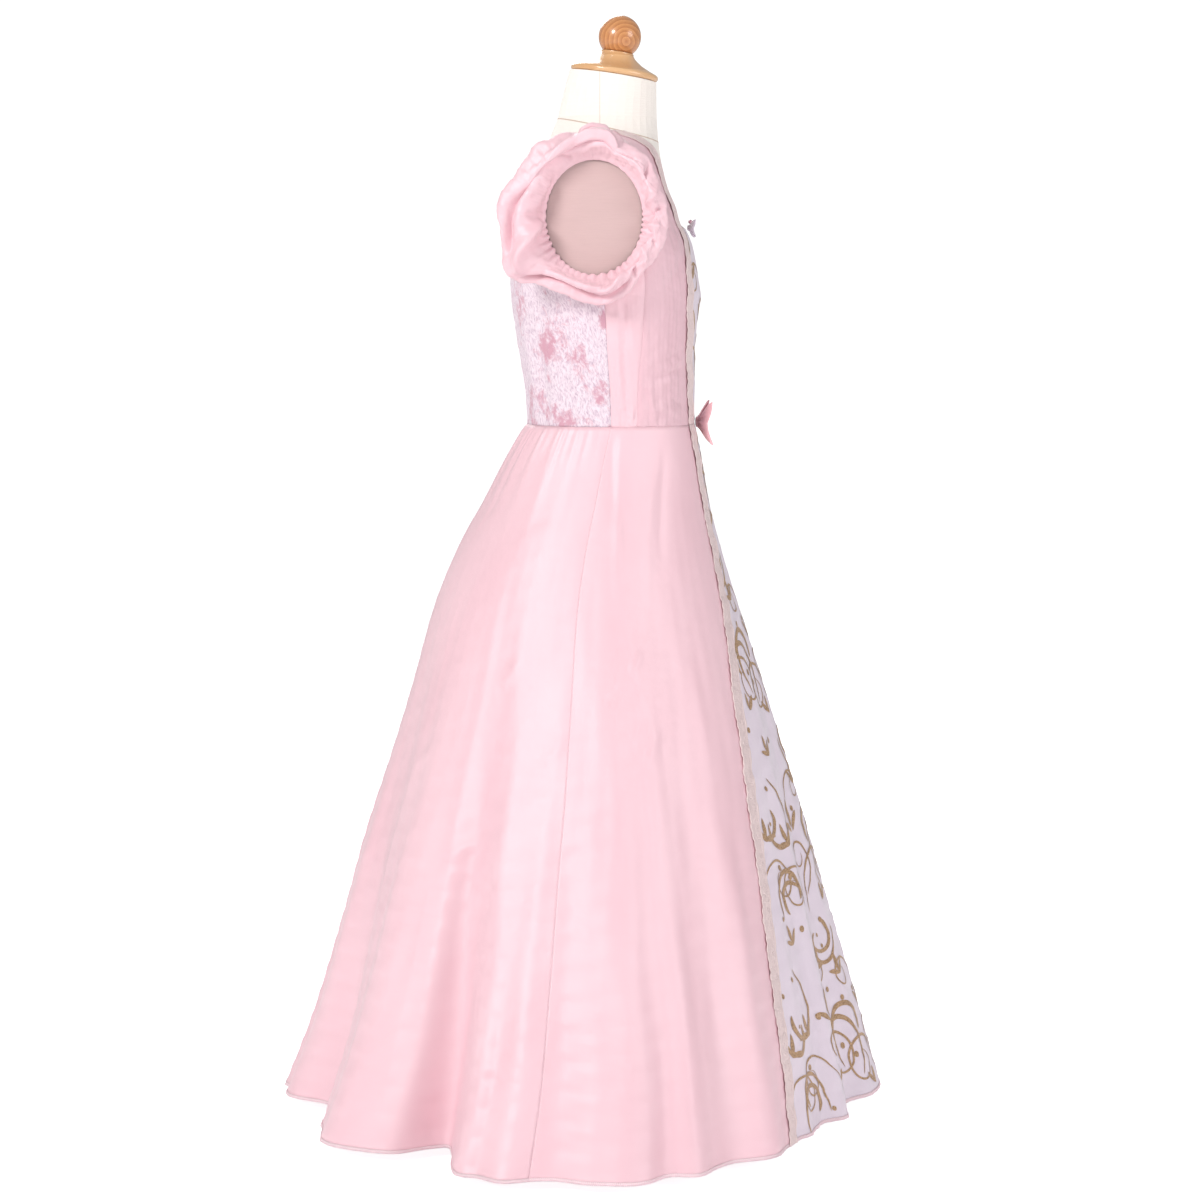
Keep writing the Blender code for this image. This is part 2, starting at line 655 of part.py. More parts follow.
BACK_ROWS = [0, 0.12, 0.24, 0.35, 0.44, 0.53, 0.61, 0.69, 0.76, 0.83, 0.89, 0.935, 0.97, 1]
panel("bodice_back", velvet, back_panel, even(24), BACK_ROWS)
panel("bodice_centre", white, centre_panel, columns_with_edges(6), BODICE_ROWS)
for side, mark in ((1, "R"), (-1, "L")):
    panel(f"bodice_front_{mark}", pink, front_panel(side),
          [0.0, EDGE] + even(5, 2 * EDGE, 1), BODICE_ROWS + UPPER_ROWS)
    panel(f"bodice_side_{mark}", pink, side_panel(side), even(3), even(6))
    panel(f"bodice_lace_{mark}", gold, trim(side), even(2), BODICE_ROWS + UPPER_ROWS[:-1])
    panel(f"sleeve_{mark}", pink, sleeve_place(side), even(38),
          [0, 0.07, 0.2, 0.33, 0.45, 0.56, 0.76, 0.93, 1], rolled=True)
    panel(f"skirt_lace_{mark}", gold, skirt_lace(side), even(2), SKIRT_ROWS)


def lace_right(z):
    return seam_angle(SKIRT_SEAMS, "lace", z)


def lace_left(z):
    return -lace_right(z)


def side_right(z):
    return seam_angle(SKIRT_SEAMS, "side", z)


def side_left(z):
    return -side_right(z)


def back_left(z):
    return 2 * np.pi - side_right(z)


panel("skirt_front", white, skirt_panel(lace_left, lace_right, 1, 1), columns_with_edges(18), SKIRT_ROWS)
panel("skirt_side_R", pink, skirt_panel(lace_right, side_right, 1, 0), columns_with_edges(12), SKIRT_ROWS)
panel("skirt_side_L", pink, skirt_panel(side_left, lace_left, 0, 1), columns_with_edges(12), SKIRT_ROWS)
panel("skirt_back", pink, skirt_panel(side_right, back_left, 0, 0), even(2 * GATHERS), SKIRT_ROWS)

# The bows: each has two loops and a knot, on the middle of the front.
Bow = namedtuple("Bow", "name z front reach tall knot")
BOWS = [
    Bow("waist_bow", 0.6815, -0.0847, 0.033, (0.0060, 0.0212), (0.009, 0.0050, 0.011)),
    Bow("neck_bow", 0.8725, -0.0761, 0.016, (0.0030, 0.0085), (0.005, 0.0042, 0.006)),
]
for bow, material, depth in ((BOWS[0], coral, (0.0016, 0.0062)), (BOWS[1], white, (0.0012, 0.0036))):
    for side, mark in ((1, "L"), (-1, "R")):
        middle = (0, bow.front - depth[1] - RIBBON / 2, bow.z)
        panel(f"{bow.name}_loop_{mark}", material,
              bow_loop(side, middle, bow.reach, bow.knot[0] / 2, depth, bow.tall, RIBBON),
              even(14), even(2), rolled=True)
    block(f"{bow.name}_knot", material, (0, bow.front - bow.knot[1] / 2, bow.z), bow.knot, 0.0012)


FORM_ROWS = [
    FORM_FOOT, 0.512, 0.550, 0.600, 0.640, 0.663, 0.680, 0.700, 0.725, 0.755, 0.785, 0.810, 0.835,
    0.860, 0.885, 0.910, 0.930, 0.943, 0.953, 0.963, 0.980, 1.000, NECK_TOP
]
torso = bmesh.new()
bmesh.ops.create_cone(
    torso, cap_ends=True, cap_tris=False, segments=36, radius1=1, radius2=1, depth=len(FORM_ROWS) - 1)
sides = [e for e in torso.edges if abs(e.verts[0].co.z - e.verts[1].co.z) > 0.5]
bmesh.ops.subdivide_edges(torso, edges=sides, cuts=len(FORM_ROWS) - 2, use_grid_fill=True)
for v in torso.verts:
    row = FORM_ROWS[round(v.co.z + (len(FORM_ROWS) - 1) / 2)]
    angle = math.atan2(-v.co.x, -v.co.y)
    v.co = Vector(lifted(body, np.array([angle]), np.array([row]), -FORM_CLEAR)[0])
keep(torso, "form_torso", jersey)

for side, mark in ((-1, "R"), (1, "L")):
    plate = bmesh.new()
    bmesh.ops.create_cone(
        plate, cap_ends=True, cap_tris=False, segments=28, radius1=1, radius2=1, depth=1)
    bmesh.ops.scale(plate, vec=(PLATE_Z, PLATE_Y, PLATE_THICK), verts=plate.verts)
    rims = [e for e in plate.edges if abs(e.verts[0].co.z - e.verts[1].co.z) < 1e-6]
    bmesh.ops.bevel(
        plate, geom=rims, offset=0.0014, offset_type="OFFSET", segments=1, profile=0.5,
        affect="EDGES", clamp_overlap=True, material=-1)
    thing = keep(plate, f"form_arm_plate_{mark}", jersey)
    thing.rotation_euler.y = math.pi / 2
    thing.location = (side * (ARM_FLAT + PLATE_THICK / 2), ARM_Y, ARM_Z)

# The cap sits on the neck's slanting cut, and the ball on the cap.
CAP_FOOT = Vector((0, -0.0038, NECK_TOP + SEAM - 0.0038 * math.tan(NECK_TILT)))
CAP = [
    (0, 0.0237), (0.0158, 0.0237), (0.0160, 0.0220), (0.0195, 0.0175), (0.0260, 0.0128),
    (0.0340, 0.0090), (0.0415, 0.0060), (0.0432, 0.0036), (0.0424, 0.0010), (0.0400, 0), (0, 0),
]
turned("cap_neck", pale_wood, CAP, CAP_FOOT, NECK_TILT, 26)
BALL_RADIUS = 0.0208
BALL_CUT = 0.0146  # from the ball's middle down to its flat foot
rise = math.acos(-BALL_CUT / BALL_RADIUS)
ball = [(BALL_RADIUS * math.sin(a), BALL_RADIUS * math.cos(a)) for a in np.linspace(0, rise, 9)]
ball_middle = CAP[0][1] + SEAM + BALL_CUT
up = Vector((0, -math.sin(NECK_TILT), math.cos(NECK_TILT)))
turned("cap_ball", wood, ball + [(0, -BALL_CUT)], CAP_FOOT + up * ball_middle, NECK_TILT, 24)

bpy.ops.mesh.primitive_cylinder_add(
    vertices=24, radius=POLE_RADIUS, depth=FORM_FOOT - BASE_HEIGHT - 2 * SEAM,
    location=(0, 0, (FORM_FOOT + BASE_HEIGHT) / 2))
pole = bpy.context.object
pole.name = "stand_pole"
pole.data.materials.append(steel)
for other in list(pole.users_collection):
    other.objects.unlink(pole)
dress.objects.link(pole)
BASE = [
    (0, BASE_HEIGHT), (0.030, BASE_HEIGHT), (0.060, 0.0150), (0.124, 0.0110), (0.129, 0.0090),
    (BASE_RADIUS, 0.0060), (BASE_RADIUS, 0.0010), (0.129, 0), (0, 0),
]
turned("stand_base", steel, BASE, (0, 0, 0), steps=32)
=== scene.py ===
import math
from collections import namedtuple

import bmesh
import bpy
import numpy as np
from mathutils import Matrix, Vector


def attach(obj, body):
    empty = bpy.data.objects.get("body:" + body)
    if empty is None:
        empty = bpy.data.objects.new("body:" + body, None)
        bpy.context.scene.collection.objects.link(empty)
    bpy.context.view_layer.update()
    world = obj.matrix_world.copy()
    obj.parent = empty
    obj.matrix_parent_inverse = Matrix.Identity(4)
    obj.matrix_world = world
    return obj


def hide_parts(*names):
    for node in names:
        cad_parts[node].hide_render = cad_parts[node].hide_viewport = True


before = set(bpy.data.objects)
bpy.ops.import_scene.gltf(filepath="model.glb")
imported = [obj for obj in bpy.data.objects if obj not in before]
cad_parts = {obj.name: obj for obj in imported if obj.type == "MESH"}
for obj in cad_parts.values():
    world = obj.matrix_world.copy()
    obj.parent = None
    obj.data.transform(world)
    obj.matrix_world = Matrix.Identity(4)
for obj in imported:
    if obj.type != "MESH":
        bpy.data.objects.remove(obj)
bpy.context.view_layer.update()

# The dress form: a padded torso with no limbs, covered in cream jersey and seamed up the sides and
# round the foot of the neck. It stands on a steel pole with a round base, which the skirt hides.
Section = namedtuple("Section", "z front back half_width power")
FORM = [Section(*row) for row in [
    (0.5, -0.08, 0.089, 0.098, 2.2), (0.512, -0.0845, 0.095, 0.1045, 2.2),
    (0.55, -0.086, 0.0975, 0.106, 2.2), (0.6, -0.0845, 0.093, 0.102, 2.2),
    (0.645, -0.082, 0.0835, 0.095, 2.2), (0.68, -0.0812, 0.0795, 0.0915, 2.2),
    (0.705, -0.081, 0.0805, 0.0925, 2.2), (0.74, -0.0815, 0.0855, 0.096, 2.2),
    (0.78, -0.083, 0.092, 0.103, 2.2), (0.805, -0.0835, 0.095, 0.11, 2.2),
    (0.825, -0.0815, 0.096, 0.123, 2.2), (0.85, -0.077, 0.097, 0.135, 2.2),
    (0.88, -0.067, 0.0945, 0.14, 2.2), (0.91, -0.0565, 0.086, 0.137, 2.2),
    (0.93, -0.052, 0.0775, 0.13, 2.2), (0.943, -0.05, 0.0705, 0.114, 2.2),
    (0.953, -0.0485, 0.0645, 0.085, 2.2), (0.963, -0.0475, 0.059, 0.061, 2.1),
    (0.975, -0.0465, 0.0535, 0.0485, 2.0), (0.992, -0.0462, 0.049, 0.0445, 2.0),
    (1.0205, -0.046, 0.0405, 0.0425, 2.0),
]]
ARM_FLAT = 0.1165
ARM_Y, ARM_Z = 0.0155, 0.8795
NECK_TILT = math.radians(8.5)
NECK_TOP = 1.0205
JERSEY = (0.95, 0.89, 0.83, 1)
JERSEY_SEAM = (0.62, 0.47, 0.38, 1)
# Arm plate colours: the cream jersey made darker and pinker, as painted shade under the sleeves with
# painted pink light bounced from them.
PLATE_PAINTED_SHADE = ((0.60, 0.43, 0.42, 1), (0.53, 0.37, 0.365, 1))


def read(table, column, at):
    """A column of a table, as a smooth curve through its rows that never overshoots them."""
    rows = sorted(table)
    x = np.array([row[0] for row in rows])
    y = np.array([getattr(row, column) for row in rows])
    run = np.diff(x)
    slope = np.diff(y) / run
    before, after = slope[:-1], slope[1:]
    same_way = before * after > 0
    middle = np.where(same_way, 2 * before * after / np.where(same_way, before + after, 1), 0)
    m = np.concatenate([slope[:1], middle, slope[-1:]])
    i = np.clip(np.searchsorted(x, at) - 1, 0, len(run) - 1)
    s = np.clip((at - x[i]) / run[i], 0, 1)
    return (
        y[i] * (2 * s**3 - 3 * s**2 + 1) + y[i + 1] * (3 * s**2 - 2 * s**3)
        + m[i] * run[i] * (s**3 - 2 * s**2 + s) + m[i + 1] * run[i] * (s**3 - s**2)
    )


def ease(s):
    s = np.clip(s, 0, 1)
    return s * s * (3 - 2 * s)


def section(table, angle, z):
    """x and y of a section at height z, angle radians round from the front towards the right."""
    front, back, wide, power = (read(table, name, z) for name in Section._fields[1:])
    c, s = np.cos(angle), np.sin(angle)
    x = -wide * np.sign(s) * np.abs(s) ** (2 / power)
    y = (front + back) / 2 - (back - front) / 2 * np.sign(c) * np.abs(c) ** (2 / power)
    return x, y


def body(angle, z):
    """The form's surface, with its flat arm sides and the neck's slanting cut."""
    x, y = section(FORM, angle, z)
    x = x / (1 + (np.abs(x) / ARM_FLAT) ** 16) ** (1 / 16)
    lean = ease((z - 0.975) / (NECK_TOP - 0.975)) * math.tan(NECK_TILT)
    return np.stack([x, y, z + lean * y], axis=-1)


def feed(tree, made, sockets):
    """Link or set a node's sockets, by name or number."""
    for name, value in sockets.items():
        if isinstance(value, bpy.types.NodeSocket):
            tree.links.new(value, made.inputs[name])
        else:
            made.inputs[name].default_value = value
    return made


def add(tree, kind, sockets=None, **settings):
    """A shader node with its settings and its sockets."""
    made = tree.nodes.new("ShaderNode" + kind)
    for name, value in settings.items():
        setattr(made, name, value)
    return feed(tree, made, sockets or {})


def work(tree, operation, a, b=0.0, c=0.0):
    return add(tree, "Math", {0: a, 1: b, 2: c}, operation=operation).outputs[0]


def blend(tree, share, a, b):
    return add(tree, "Mix", {0: share, 6: a, 7: b}, data_type="RGBA").outputs[2]


def finish(name):
    """A new material, its node tree and its Principled shader."""
    material = bpy.data.materials.new(name)
    material.use_nodes = True
    return material, material.node_tree, material.node_tree.nodes["Principled BSDF"]


def group(name, takes, gives):
    """A shader group with float inputs (or a vector, where the default is None) and outputs."""
    tree = bpy.data.node_groups.new(name, "ShaderNodeTree")
    for socket, default in takes.items():
        kind = "NodeSocketVector" if default is None else "NodeSocketFloat"
        made = tree.interface.new_socket(name=socket, in_out="INPUT", socket_type=kind)
        if default is not None:
            made.default_value = default
    for socket in gives:
        tree.interface.new_socket(name=socket, in_out="OUTPUT", socket_type="NodeSocketFloat")
    return tree, tree.nodes.new("NodeGroupInput"), tree.nodes.new("NodeGroupOutput")


def use(tree, effect, sockets):
    return feed(tree, add(tree, "Group", node_tree=effect), sockets)


def placed(bm, name, material, nodes=(), smooth=True):
    """A bmesh as an object of the scene, on the frame's root, that stands for its CAD nodes."""
    mesh = bpy.data.meshes.new(name)
    bm.to_mesh(mesh)
    bm.free()
    if smooth:
        mesh.shade_smooth()
    mesh.materials.append(material)
    thing = bpy.data.objects.new(name, mesh)
    bpy.context.scene.collection.objects.link(thing)
    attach(thing, "root")
    if nodes:
        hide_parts(*nodes)
    return thing


def stretched(tree, kind, place, scale, sockets=None, **settings):
    """A texture on a place that is scaled along each axis."""
    scaled = add(tree, "Mapping", {0: place, 3: scale}).outputs[0]
    return add(tree, kind, {"Vector": scaled, "Scale": 1.0, **(sockets or {})}, **settings)


def raised(tree, shader, height, strength, distance, under=None):
    """Bump from a height, over the bump under it, on the shader's normal."""
    sockets = {"Strength": strength, "Distance": distance, "Height": height}
    bump = add(tree, "Bump", sockets if under is None else {**sockets, "Normal": under})
    tree.links.new(bump.outputs[0], shader.inputs["Normal"])
    return bump.outputs[0]


# Woven threads that cross, pitch apart, and the slow unevenness of cloth along and across.
weave, inside, outside = group(
    "woven threads", {"Place": None, "Pitch": 0.0005, "Slub": 0.3}, ["Height", "Tone"])
split = add(weave, "SeparateXYZ", {0: inside.outputs["Place"]})
rate = work(weave, "DIVIDE", math.tau, inside.outputs["Pitch"])
warp = work(weave, "SINE", work(weave, "MULTIPLY", split.outputs[0], rate))
weft = work(weave, "SINE", work(weave, "MULTIPLY", split.outputs[1], rate))
crossing = work(weave, "MULTIPLY", warp, weft)
thick = stretched(weave, "TexNoise", inside.outputs["Place"], (60, 900, 60), {"Detail": 2.0})
slub = work(weave, "MULTIPLY", work(weave, "SUBTRACT", thick.outputs[0], 0.5), inside.outputs["Slub"])
weave.links.new(work(weave, "ADD", work(weave, "MULTIPLY", crossing, 0.5), slub), outside.inputs["Height"])
weave.links.new(slub, outside.inputs["Tone"])

jersey, tree, shader = finish("cream jersey")
place = add(tree, "TexCoord").outputs["Object"]
upright = add(tree, "Mapping", {0: place, 2: (math.radians(90), 0, 0)}).outputs[0]
knit = use(tree, weave, {"Place": upright, "Pitch": 0.0011, "Slub": 1.2})
split = add(tree, "SeparateXYZ", {0: place})
neck_foot = work(tree, "MULTIPLY_ADD", split.outputs[1], 0.235, 0.9665)
neck_seam = work(tree, "SUBTRACT", split.outputs[2], neck_foot)
side_seam = work(tree, "SUBTRACT", split.outputs[1], 0.0102)
above = work(tree, "GREATER_THAN", neck_seam, 0.0)
on_neck = work(tree, "LESS_THAN", work(tree, "ABSOLUTE", neck_seam), 0.0006)
on_side = work(tree, "MULTIPLY", above, work(tree, "LESS_THAN", work(tree, "ABSOLUTE", side_seam), 0.0004))
seam = work(tree, "MAXIMUM", on_neck, work(tree, "MULTIPLY", on_side, 0.5))
shade = work(tree, "MULTIPLY_ADD", knit.outputs["Tone"], 0.5, 0.15)
tint = blend(tree, shade, JERSEY, (0.87, 0.80, 0.74, 1))
tree.links.new(blend(tree, seam, tint, JERSEY_SEAM), shader.inputs["Base Color"])
relief = work(tree, "SUBTRACT", knit.outputs["Height"], work(tree, "MULTIPLY", seam, 3.0))
raised(tree, shader, relief, 0.35, 0.0004)
shader.inputs["Roughness"].default_value = 0.85
shader.inputs["Sheen Weight"].default_value = 0.2

steel, tree, shader = finish("brushed steel")
place = add(tree, "TexCoord").outputs["Object"]
brushed = stretched(tree, "TexNoise", place, (20, 20, 900), {"Detail": 3.0})
tree.links.new(blend(tree, brushed.outputs[0], (0.55, 0.55, 0.56, 1), (0.68, 0.68, 0.69, 1)),
               shader.inputs["Base Color"])
tree.links.new(work(tree, "MULTIPLY_ADD", brushed.outputs[0], 0.2, 0.22), shader.inputs["Roughness"])
shader.inputs["Metallic"].default_value = 1.0

# The arm plates take a copy of the jersey in darker, pinker tones: painted shade under the puffed sleeves,
# with the pink light they throw back painted in.
shade_painted_jersey = jersey.copy()
shade_painted_jersey.name = "jersey with painted shade"
for made in shade_painted_jersey.node_tree.nodes:
    if made.type == "MIX" and not made.inputs[7].is_linked and made.inputs[7].default_value[0] > 0.8:
        made.inputs[6].default_value, made.inputs[7].default_value = PLATE_PAINTED_SHADE
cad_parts["form_torso"].material_slots[0].material = jersey
for node in ("form_arm_plate_R", "form_arm_plate_L"):
    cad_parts[node].material_slots[0].material = shade_painted_jersey
for node in ("stand_pole", "stand_base"):
    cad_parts[node].material_slots[0].material = steel

# The turned wooden cap on the neck and the ball on it: varnished, the ball darker, with the rings of
# the grain round its side. Both are turned in one go and glued on.
CAP = [
    (0.0, 0.0237), (0.0150, 0.0237), (0.0159, 0.0232), (0.0161, 0.0218), (0.0175, 0.0196),
    (0.0200, 0.0172), (0.0260, 0.0130), (0.0340, 0.0092), (0.0405, 0.0066), (0.0424, 0.0054),
    (0.0431, 0.0036), (0.0429, 0.0018), (0.0420, 0.0006), (0.0404, 0.0), (0.0, 0.0),
]
GLUE = 0.0003
CAP_Y = -0.0038
CAP_FOOT = Vector((0, CAP_Y, NECK_TOP + GLUE + CAP_Y * math.tan(NECK_TILT)))
UP_NECK = Vector((0, -math.sin(NECK_TILT), math.cos(NECK_TILT)))
BALL_RADIUS, BALL_CUT = 0.0208, 0.0146


def varnished(name, pale, dark, ring_middle, ring_scale):
    """Turned wood: rings about a point, streaks and pores, under a clear varnish."""
    wood, tree, shader = finish(name)
    place = add(tree, "TexCoord").outputs["Object"]
    centred = add(tree, "Mapping", {0: place, 1: tuple(-c for c in ring_middle)}).outputs[0]
    warped = add(tree, "TexNoise", {"Vector": centred, "Scale": 35.0, "Detail": 2.0})
    swirl = add(tree, "VectorMath", {0: warped.outputs[1], 3: 0.004}, operation="SCALE").outputs[0]
    bent = add(tree, "VectorMath", {0: centred, 1: swirl}, operation="ADD").outputs[0]
    rings = add(tree, "TexWave", {"Vector": bent, "Scale": ring_scale, "Distortion": 0.6, "Detail": 2.0,
                                  "Detail Scale": 1.5},
                wave_type="RINGS", rings_direction="X", wave_profile="SAW")
    pores = stretched(tree, "TexNoise", place, (300, 300, 1500))
    pitted = work(tree, "MULTIPLY", pores.outputs[0], 0.25)
    share = work(tree, "MULTIPLY_ADD", rings.outputs[1], 0.75, pitted)
    tree.links.new(blend(tree, share, dark, pale), shader.inputs["Base Color"])
    shader.inputs["Roughness"].default_value = 0.35
    shader.inputs["Coat Weight"].default_value = 0.6
    shader.inputs["Coat Roughness"].default_value = 0.12
    raised(tree, shader, share, 0.15, 0.0003)
    return wood


def spun(name, profile, foot, material, node):
    """A turned piece: a profile spun round the neck's leaning axis."""
    bm = bmesh.new()
    points = [bm.verts.new((radius, 0, height)) for radius, height in profile]
    edges = [bm.edges.new(pair) for pair in zip(points, points[1:])]
    bmesh.ops.spin(bm, geom=points + edges, cent=(0, 0, 0), axis=(0, 0, 1), angle=math.tau, steps=72,
                   use_merge=True)
    bmesh.ops.remove_doubles(bm, verts=bm.verts[:], dist=1e-6)
    bmesh.ops.recalc_face_normals(bm, faces=bm.faces[:])
    bmesh.ops.rotate(bm, cent=(0, 0, 0), verts=bm.verts[:],
                     matrix=Vector((0, 0, 1)).rotation_difference(UP_NECK).to_matrix())
    bmesh.ops.translate(bm, vec=foot, verts=bm.verts[:])
    placed(bm, name, material, [node]).data.set_sharp_from_angle(angle=math.radians(50))


ball_middle = CAP_FOOT + UP_NECK * (CAP[0][1] + GLUE + BALL_CUT)
ball = [(BALL_RADIUS * math.sin(a), BALL_RADIUS * math.cos(a))
        for a in np.linspace(0, math.acos(-BALL_CUT / BALL_RADIUS), 28)]
pale_wood = varnished("pale turned wood", (0.80, 0.50, 0.26, 1), (0.62, 0.33, 0.14, 1),
                      (0, 0, CAP_FOOT.z - 0.35), 22.0)
brown_wood = varnished("brown turned wood", (0.72, 0.34, 0.13, 1), (0.42, 0.15, 0.05, 1),
                       (0, ball_middle.y - 0.004, ball_middle.z - 0.004), 75.0)
spun("turned_cap", CAP, CAP_FOOT, pale_wood, "cap_neck")
spun("turned_ball", ball + [(0.0, -BALL_CUT)], ball_middle, brown_wood, "cap_ball")

# The bodice: a crushed velvet back, pink satin sides and fronts and a white satin centre, sewn edge
# to edge on seams that all run on one surface over the form. Each piece is cut from thin cloth.
SEAM, EASE, CAD_WALL, CLOTH_WALL = -0.0004, 0.0012, 0.0014, 0.0006
GROOVE = 0.0007
CLOTH = EASE + CAD_WALL
WAIST, HEM, NECKLINE, NECK_DIP = 0.680, 0.010, 0.874, 0.004
SHOULDER, NECK_POINT, BACK_NECK = 0.9435, 0.9625, 0.934
ARMHOLE_Y, ARMHOLE_Z = 0.056, 0.064
LACE = 0.018
Seam = namedtuple("Seam", "z centre princess")
SEAMS = [Seam(*row) for row in [
    (0.68, 20.5, 74.5), (0.72, 23.0, 73.0), (0.76, 25.5, 69.5), (0.8, 27.0, 67.5), (0.83, 25.0, 66.0),
    (0.862, 20.5, 66.0), (0.885, 20.0, 66.0), (0.91, 22.5, 66.0), (0.93, 27.0, 66.0),
    (0.943, 34.0, 66.0), (0.953, 48.0, 66.0), (0.9625, 76.0, 76.0),
]]
SIDE_SEAM, MID_SIDE, NECK_RISE = 90.0, 0.83, 0.856
BACK_SEAM_SHARE, SHOULDER_SHARE, EDGE = 0.44, 0.22, 0.04

# Creases pressed into the cloth, as a line from one turn and height to another (degrees round from
# the front towards the wearer's right), half its width and its height (a trough is negative).
Crease = namedtuple("Crease", "turn z to_turn to_z width height")
FRONT_CREASES = [Crease(*row) for row in [
    (26, 0.762, 52, 0.742, 0.0045, -0.0014), (24, 0.752, 56, 0.731, 0.0035, 0.0011),
    (30, 0.739, 66, 0.722, 0.006, -0.0016), (36, 0.731, 70, 0.716, 0.004, 0.001),
    (28, 0.7, 44, 0.703, 0.004, -0.001), (40, 0.695, 74, 0.697, 0.006, 0.0014),
    (24, 0.868, 44, 0.84, 0.006, 0.0012), (30, 0.842, 52, 0.812, 0.009, -0.0012),
    (62, 0.684, 66, 0.722, 0.0035, 0.0009), (48, 0.8, 60, 0.77, 0.01, 0.001),
    (-25, 0.77, -50, 0.752, 0.0045, -0.0014), (-27, 0.756, -62, 0.738, 0.005, 0.0012),
    (-34, 0.742, -66, 0.719, 0.0055, -0.0015), (-28, 0.706, -58, 0.699, 0.005, 0.0012),
    (-26, 0.862, -46, 0.836, 0.0065, 0.0012), (-32, 0.832, -56, 0.806, 0.0085, -0.0012),
    (-60, 0.684, -64, 0.728, 0.0035, 0.0009),
]]
SIDE_CREASES = [Crease(*row) for row in [
    (82, 0.69, 80, 0.8, 0.0035, -0.0013), (84.5, 0.7, 84, 0.812, 0.003, 0.0012),
    (78, 0.684, 77, 0.705, 0.0025, 0.0014), (80.5, 0.684, 80.5, 0.7, 0.0022, -0.0012),
    (75.5, 0.683, 75, 0.698, 0.002, -0.001), (87, 0.74, 79, 0.728, 0.003, -0.001),
    (73, 0.75, 77, 0.806, 0.006, 0.0012), (86, 0.683, 85.5, 0.697, 0.0022, 0.0009),
    (-81, 0.692, -79, 0.79, 0.0035, -0.0012), (-85, 0.7, -84, 0.806, 0.0032, 0.0012),
    (-77, 0.684, -76, 0.706, 0.0025, 0.0013), (-79.5, 0.684, -80, 0.702, 0.0022, -0.0011),
    (-88, 0.745, -78, 0.734, 0.0032, -0.001), (-72, 0.752, -76, 0.8, 0.006, 0.0012),
]]
BACK_CREASES = [Crease(*row) for row in [
    (128, 0.69, 122, 0.79, 0.008, 0.002), (140, 0.684, 136, 0.76, 0.007, -0.002),
    (150, 0.69, 150, 0.78, 0.009, 0.0018), (106, 0.69, 112, 0.745, 0.006, 0.001),
    (168, 0.684, 171, 0.745, 0.008, -0.0018), (96, 0.81, 112, 0.795, 0.005, -0.0012),
    (124, 0.84, 150, 0.815, 0.008, 0.0014), (118, 0.87, 142, 0.85, 0.007, -0.0013),
    (-126, 0.69, -121, 0.784, 0.008, 0.002), (-142, 0.684, -138, 0.765, 0.007, -0.002),
    (-154, 0.69, -152, 0.775, 0.009, 0.0018), (-172, 0.684, -170, 0.75, 0.008, 0.0014),
    (-122, 0.836, -148, 0.818, 0.008, 0.0014), (-116, 0.868, -140, 0.853, 0.007, -0.0013),
    (178, 0.78, 160, 0.768, 0.007, -0.001), (-176, 0.83, -158, 0.845, 0.008, 0.0012),
]]
CENTRE_CREASES = [Crease(*row) for row in [
    (-14, 0.69, -6, 0.73, 0.005, 0.001), (12, 0.69, 8, 0.726, 0.005, 0.001),
    (-18, 0.76, 14, 0.752, 0.006, -0.001), (-16, 0.8, 18, 0.806, 0.007, 0.001),
    (4, 0.868, 2, 0.82, 0.004, -0.0009), (-6, 0.868, -8, 0.83, 0.004, 0.0008),
]]


def pressed(creases, turn, z, radius):
    """How far the creases move the cloth out at each place."""
    total = 0 * z
    for crease in creases:
        x0 = (turn - crease.turn) * radius
        ex, ez = (crease.to_turn - crease.turn) * radius, crease.to_z - crease.z
        along = (x0 * ex + (z - crease.z) * ez) / (ex * ex + ez * ez)
        held = np.clip(along, 0, 1)
        away = np.hypot(x0 - held * ex, z - crease.z - held * ez)
        fade = ease((along + 0.15) / 0.4) * ease((1.15 - along) / 0.4)
        total = total + crease.height * fade * np.exp(-((away / crease.width) ** 2))
    return total


def rippled(turn, z, height, size):
    """Slow unevenness of worn cloth, from a few waves that never line up."""
    a, b = np.radians(turn) * round(0.128 / size), z / size
    return height * (np.sin(a * 3 + b * 1.7 + 0.4) * np.sin(b * 2.3 - a + 1.9)
                     + 0.6 * np.sin(a * 5 - b * 3.7 + 2.2) * np.sin(a * 3 + b * 4.1 + 0.7))


def lifted(surface, a, b, out):
    """The point of a surface at a, b, moved out from it."""
    step = 1e-4
    da = surface(a + step, b) - surface(a - step, b)
    db = surface(a, b + step) - surface(a, b - step)
    normal = np.cross(db, da)
    normal = normal / np.linalg.norm(normal, axis=-1, keepdims=True)
    return surface(a, b) + normal * (out + 0 * a)[:, None]


def turn_for(surface, angle, z, width):
    """The angle that a width along the cloth takes up at a place."""
    step = 1e-3
    reach = np.linalg.norm(surface(angle + step, z) - surface(angle - step, z), axis=-1)
    return width * 2 * step / reach


def angle_at(y, z, front_half):
    """The angle at which the form's surface passes y at height z, on its front or its back half."""
    front, back, power = (read(FORM, name, z) for name in ("front", "back", "power"))
    share = ((front + back) / 2 - y) / ((back - front) / 2)
    share = np.clip(share if front_half else -share, 0, 1)
    angle = np.arccos(share ** (power / 2))
    return angle if front_half else np.pi - angle


def seam_angle(table, column, z):
    return np.radians(read(table, column, z))


def between(u, first, last, margin_first, margin_last):
    """The angle at a share u of the way across, with a margin of its own at each edge."""
    inner = np.clip((u - EDGE) / (1 - 2 * EDGE), 0, 1)
    return (first + margin_first * np.clip(u / EDGE, 0, 1)
            + (last - margin_last - first - margin_first) * inner
            + margin_last * np.clip((u - 1 + EDGE) / EDGE, 0, 1))


Cut = namedtuple("Cut", "thing points across along")


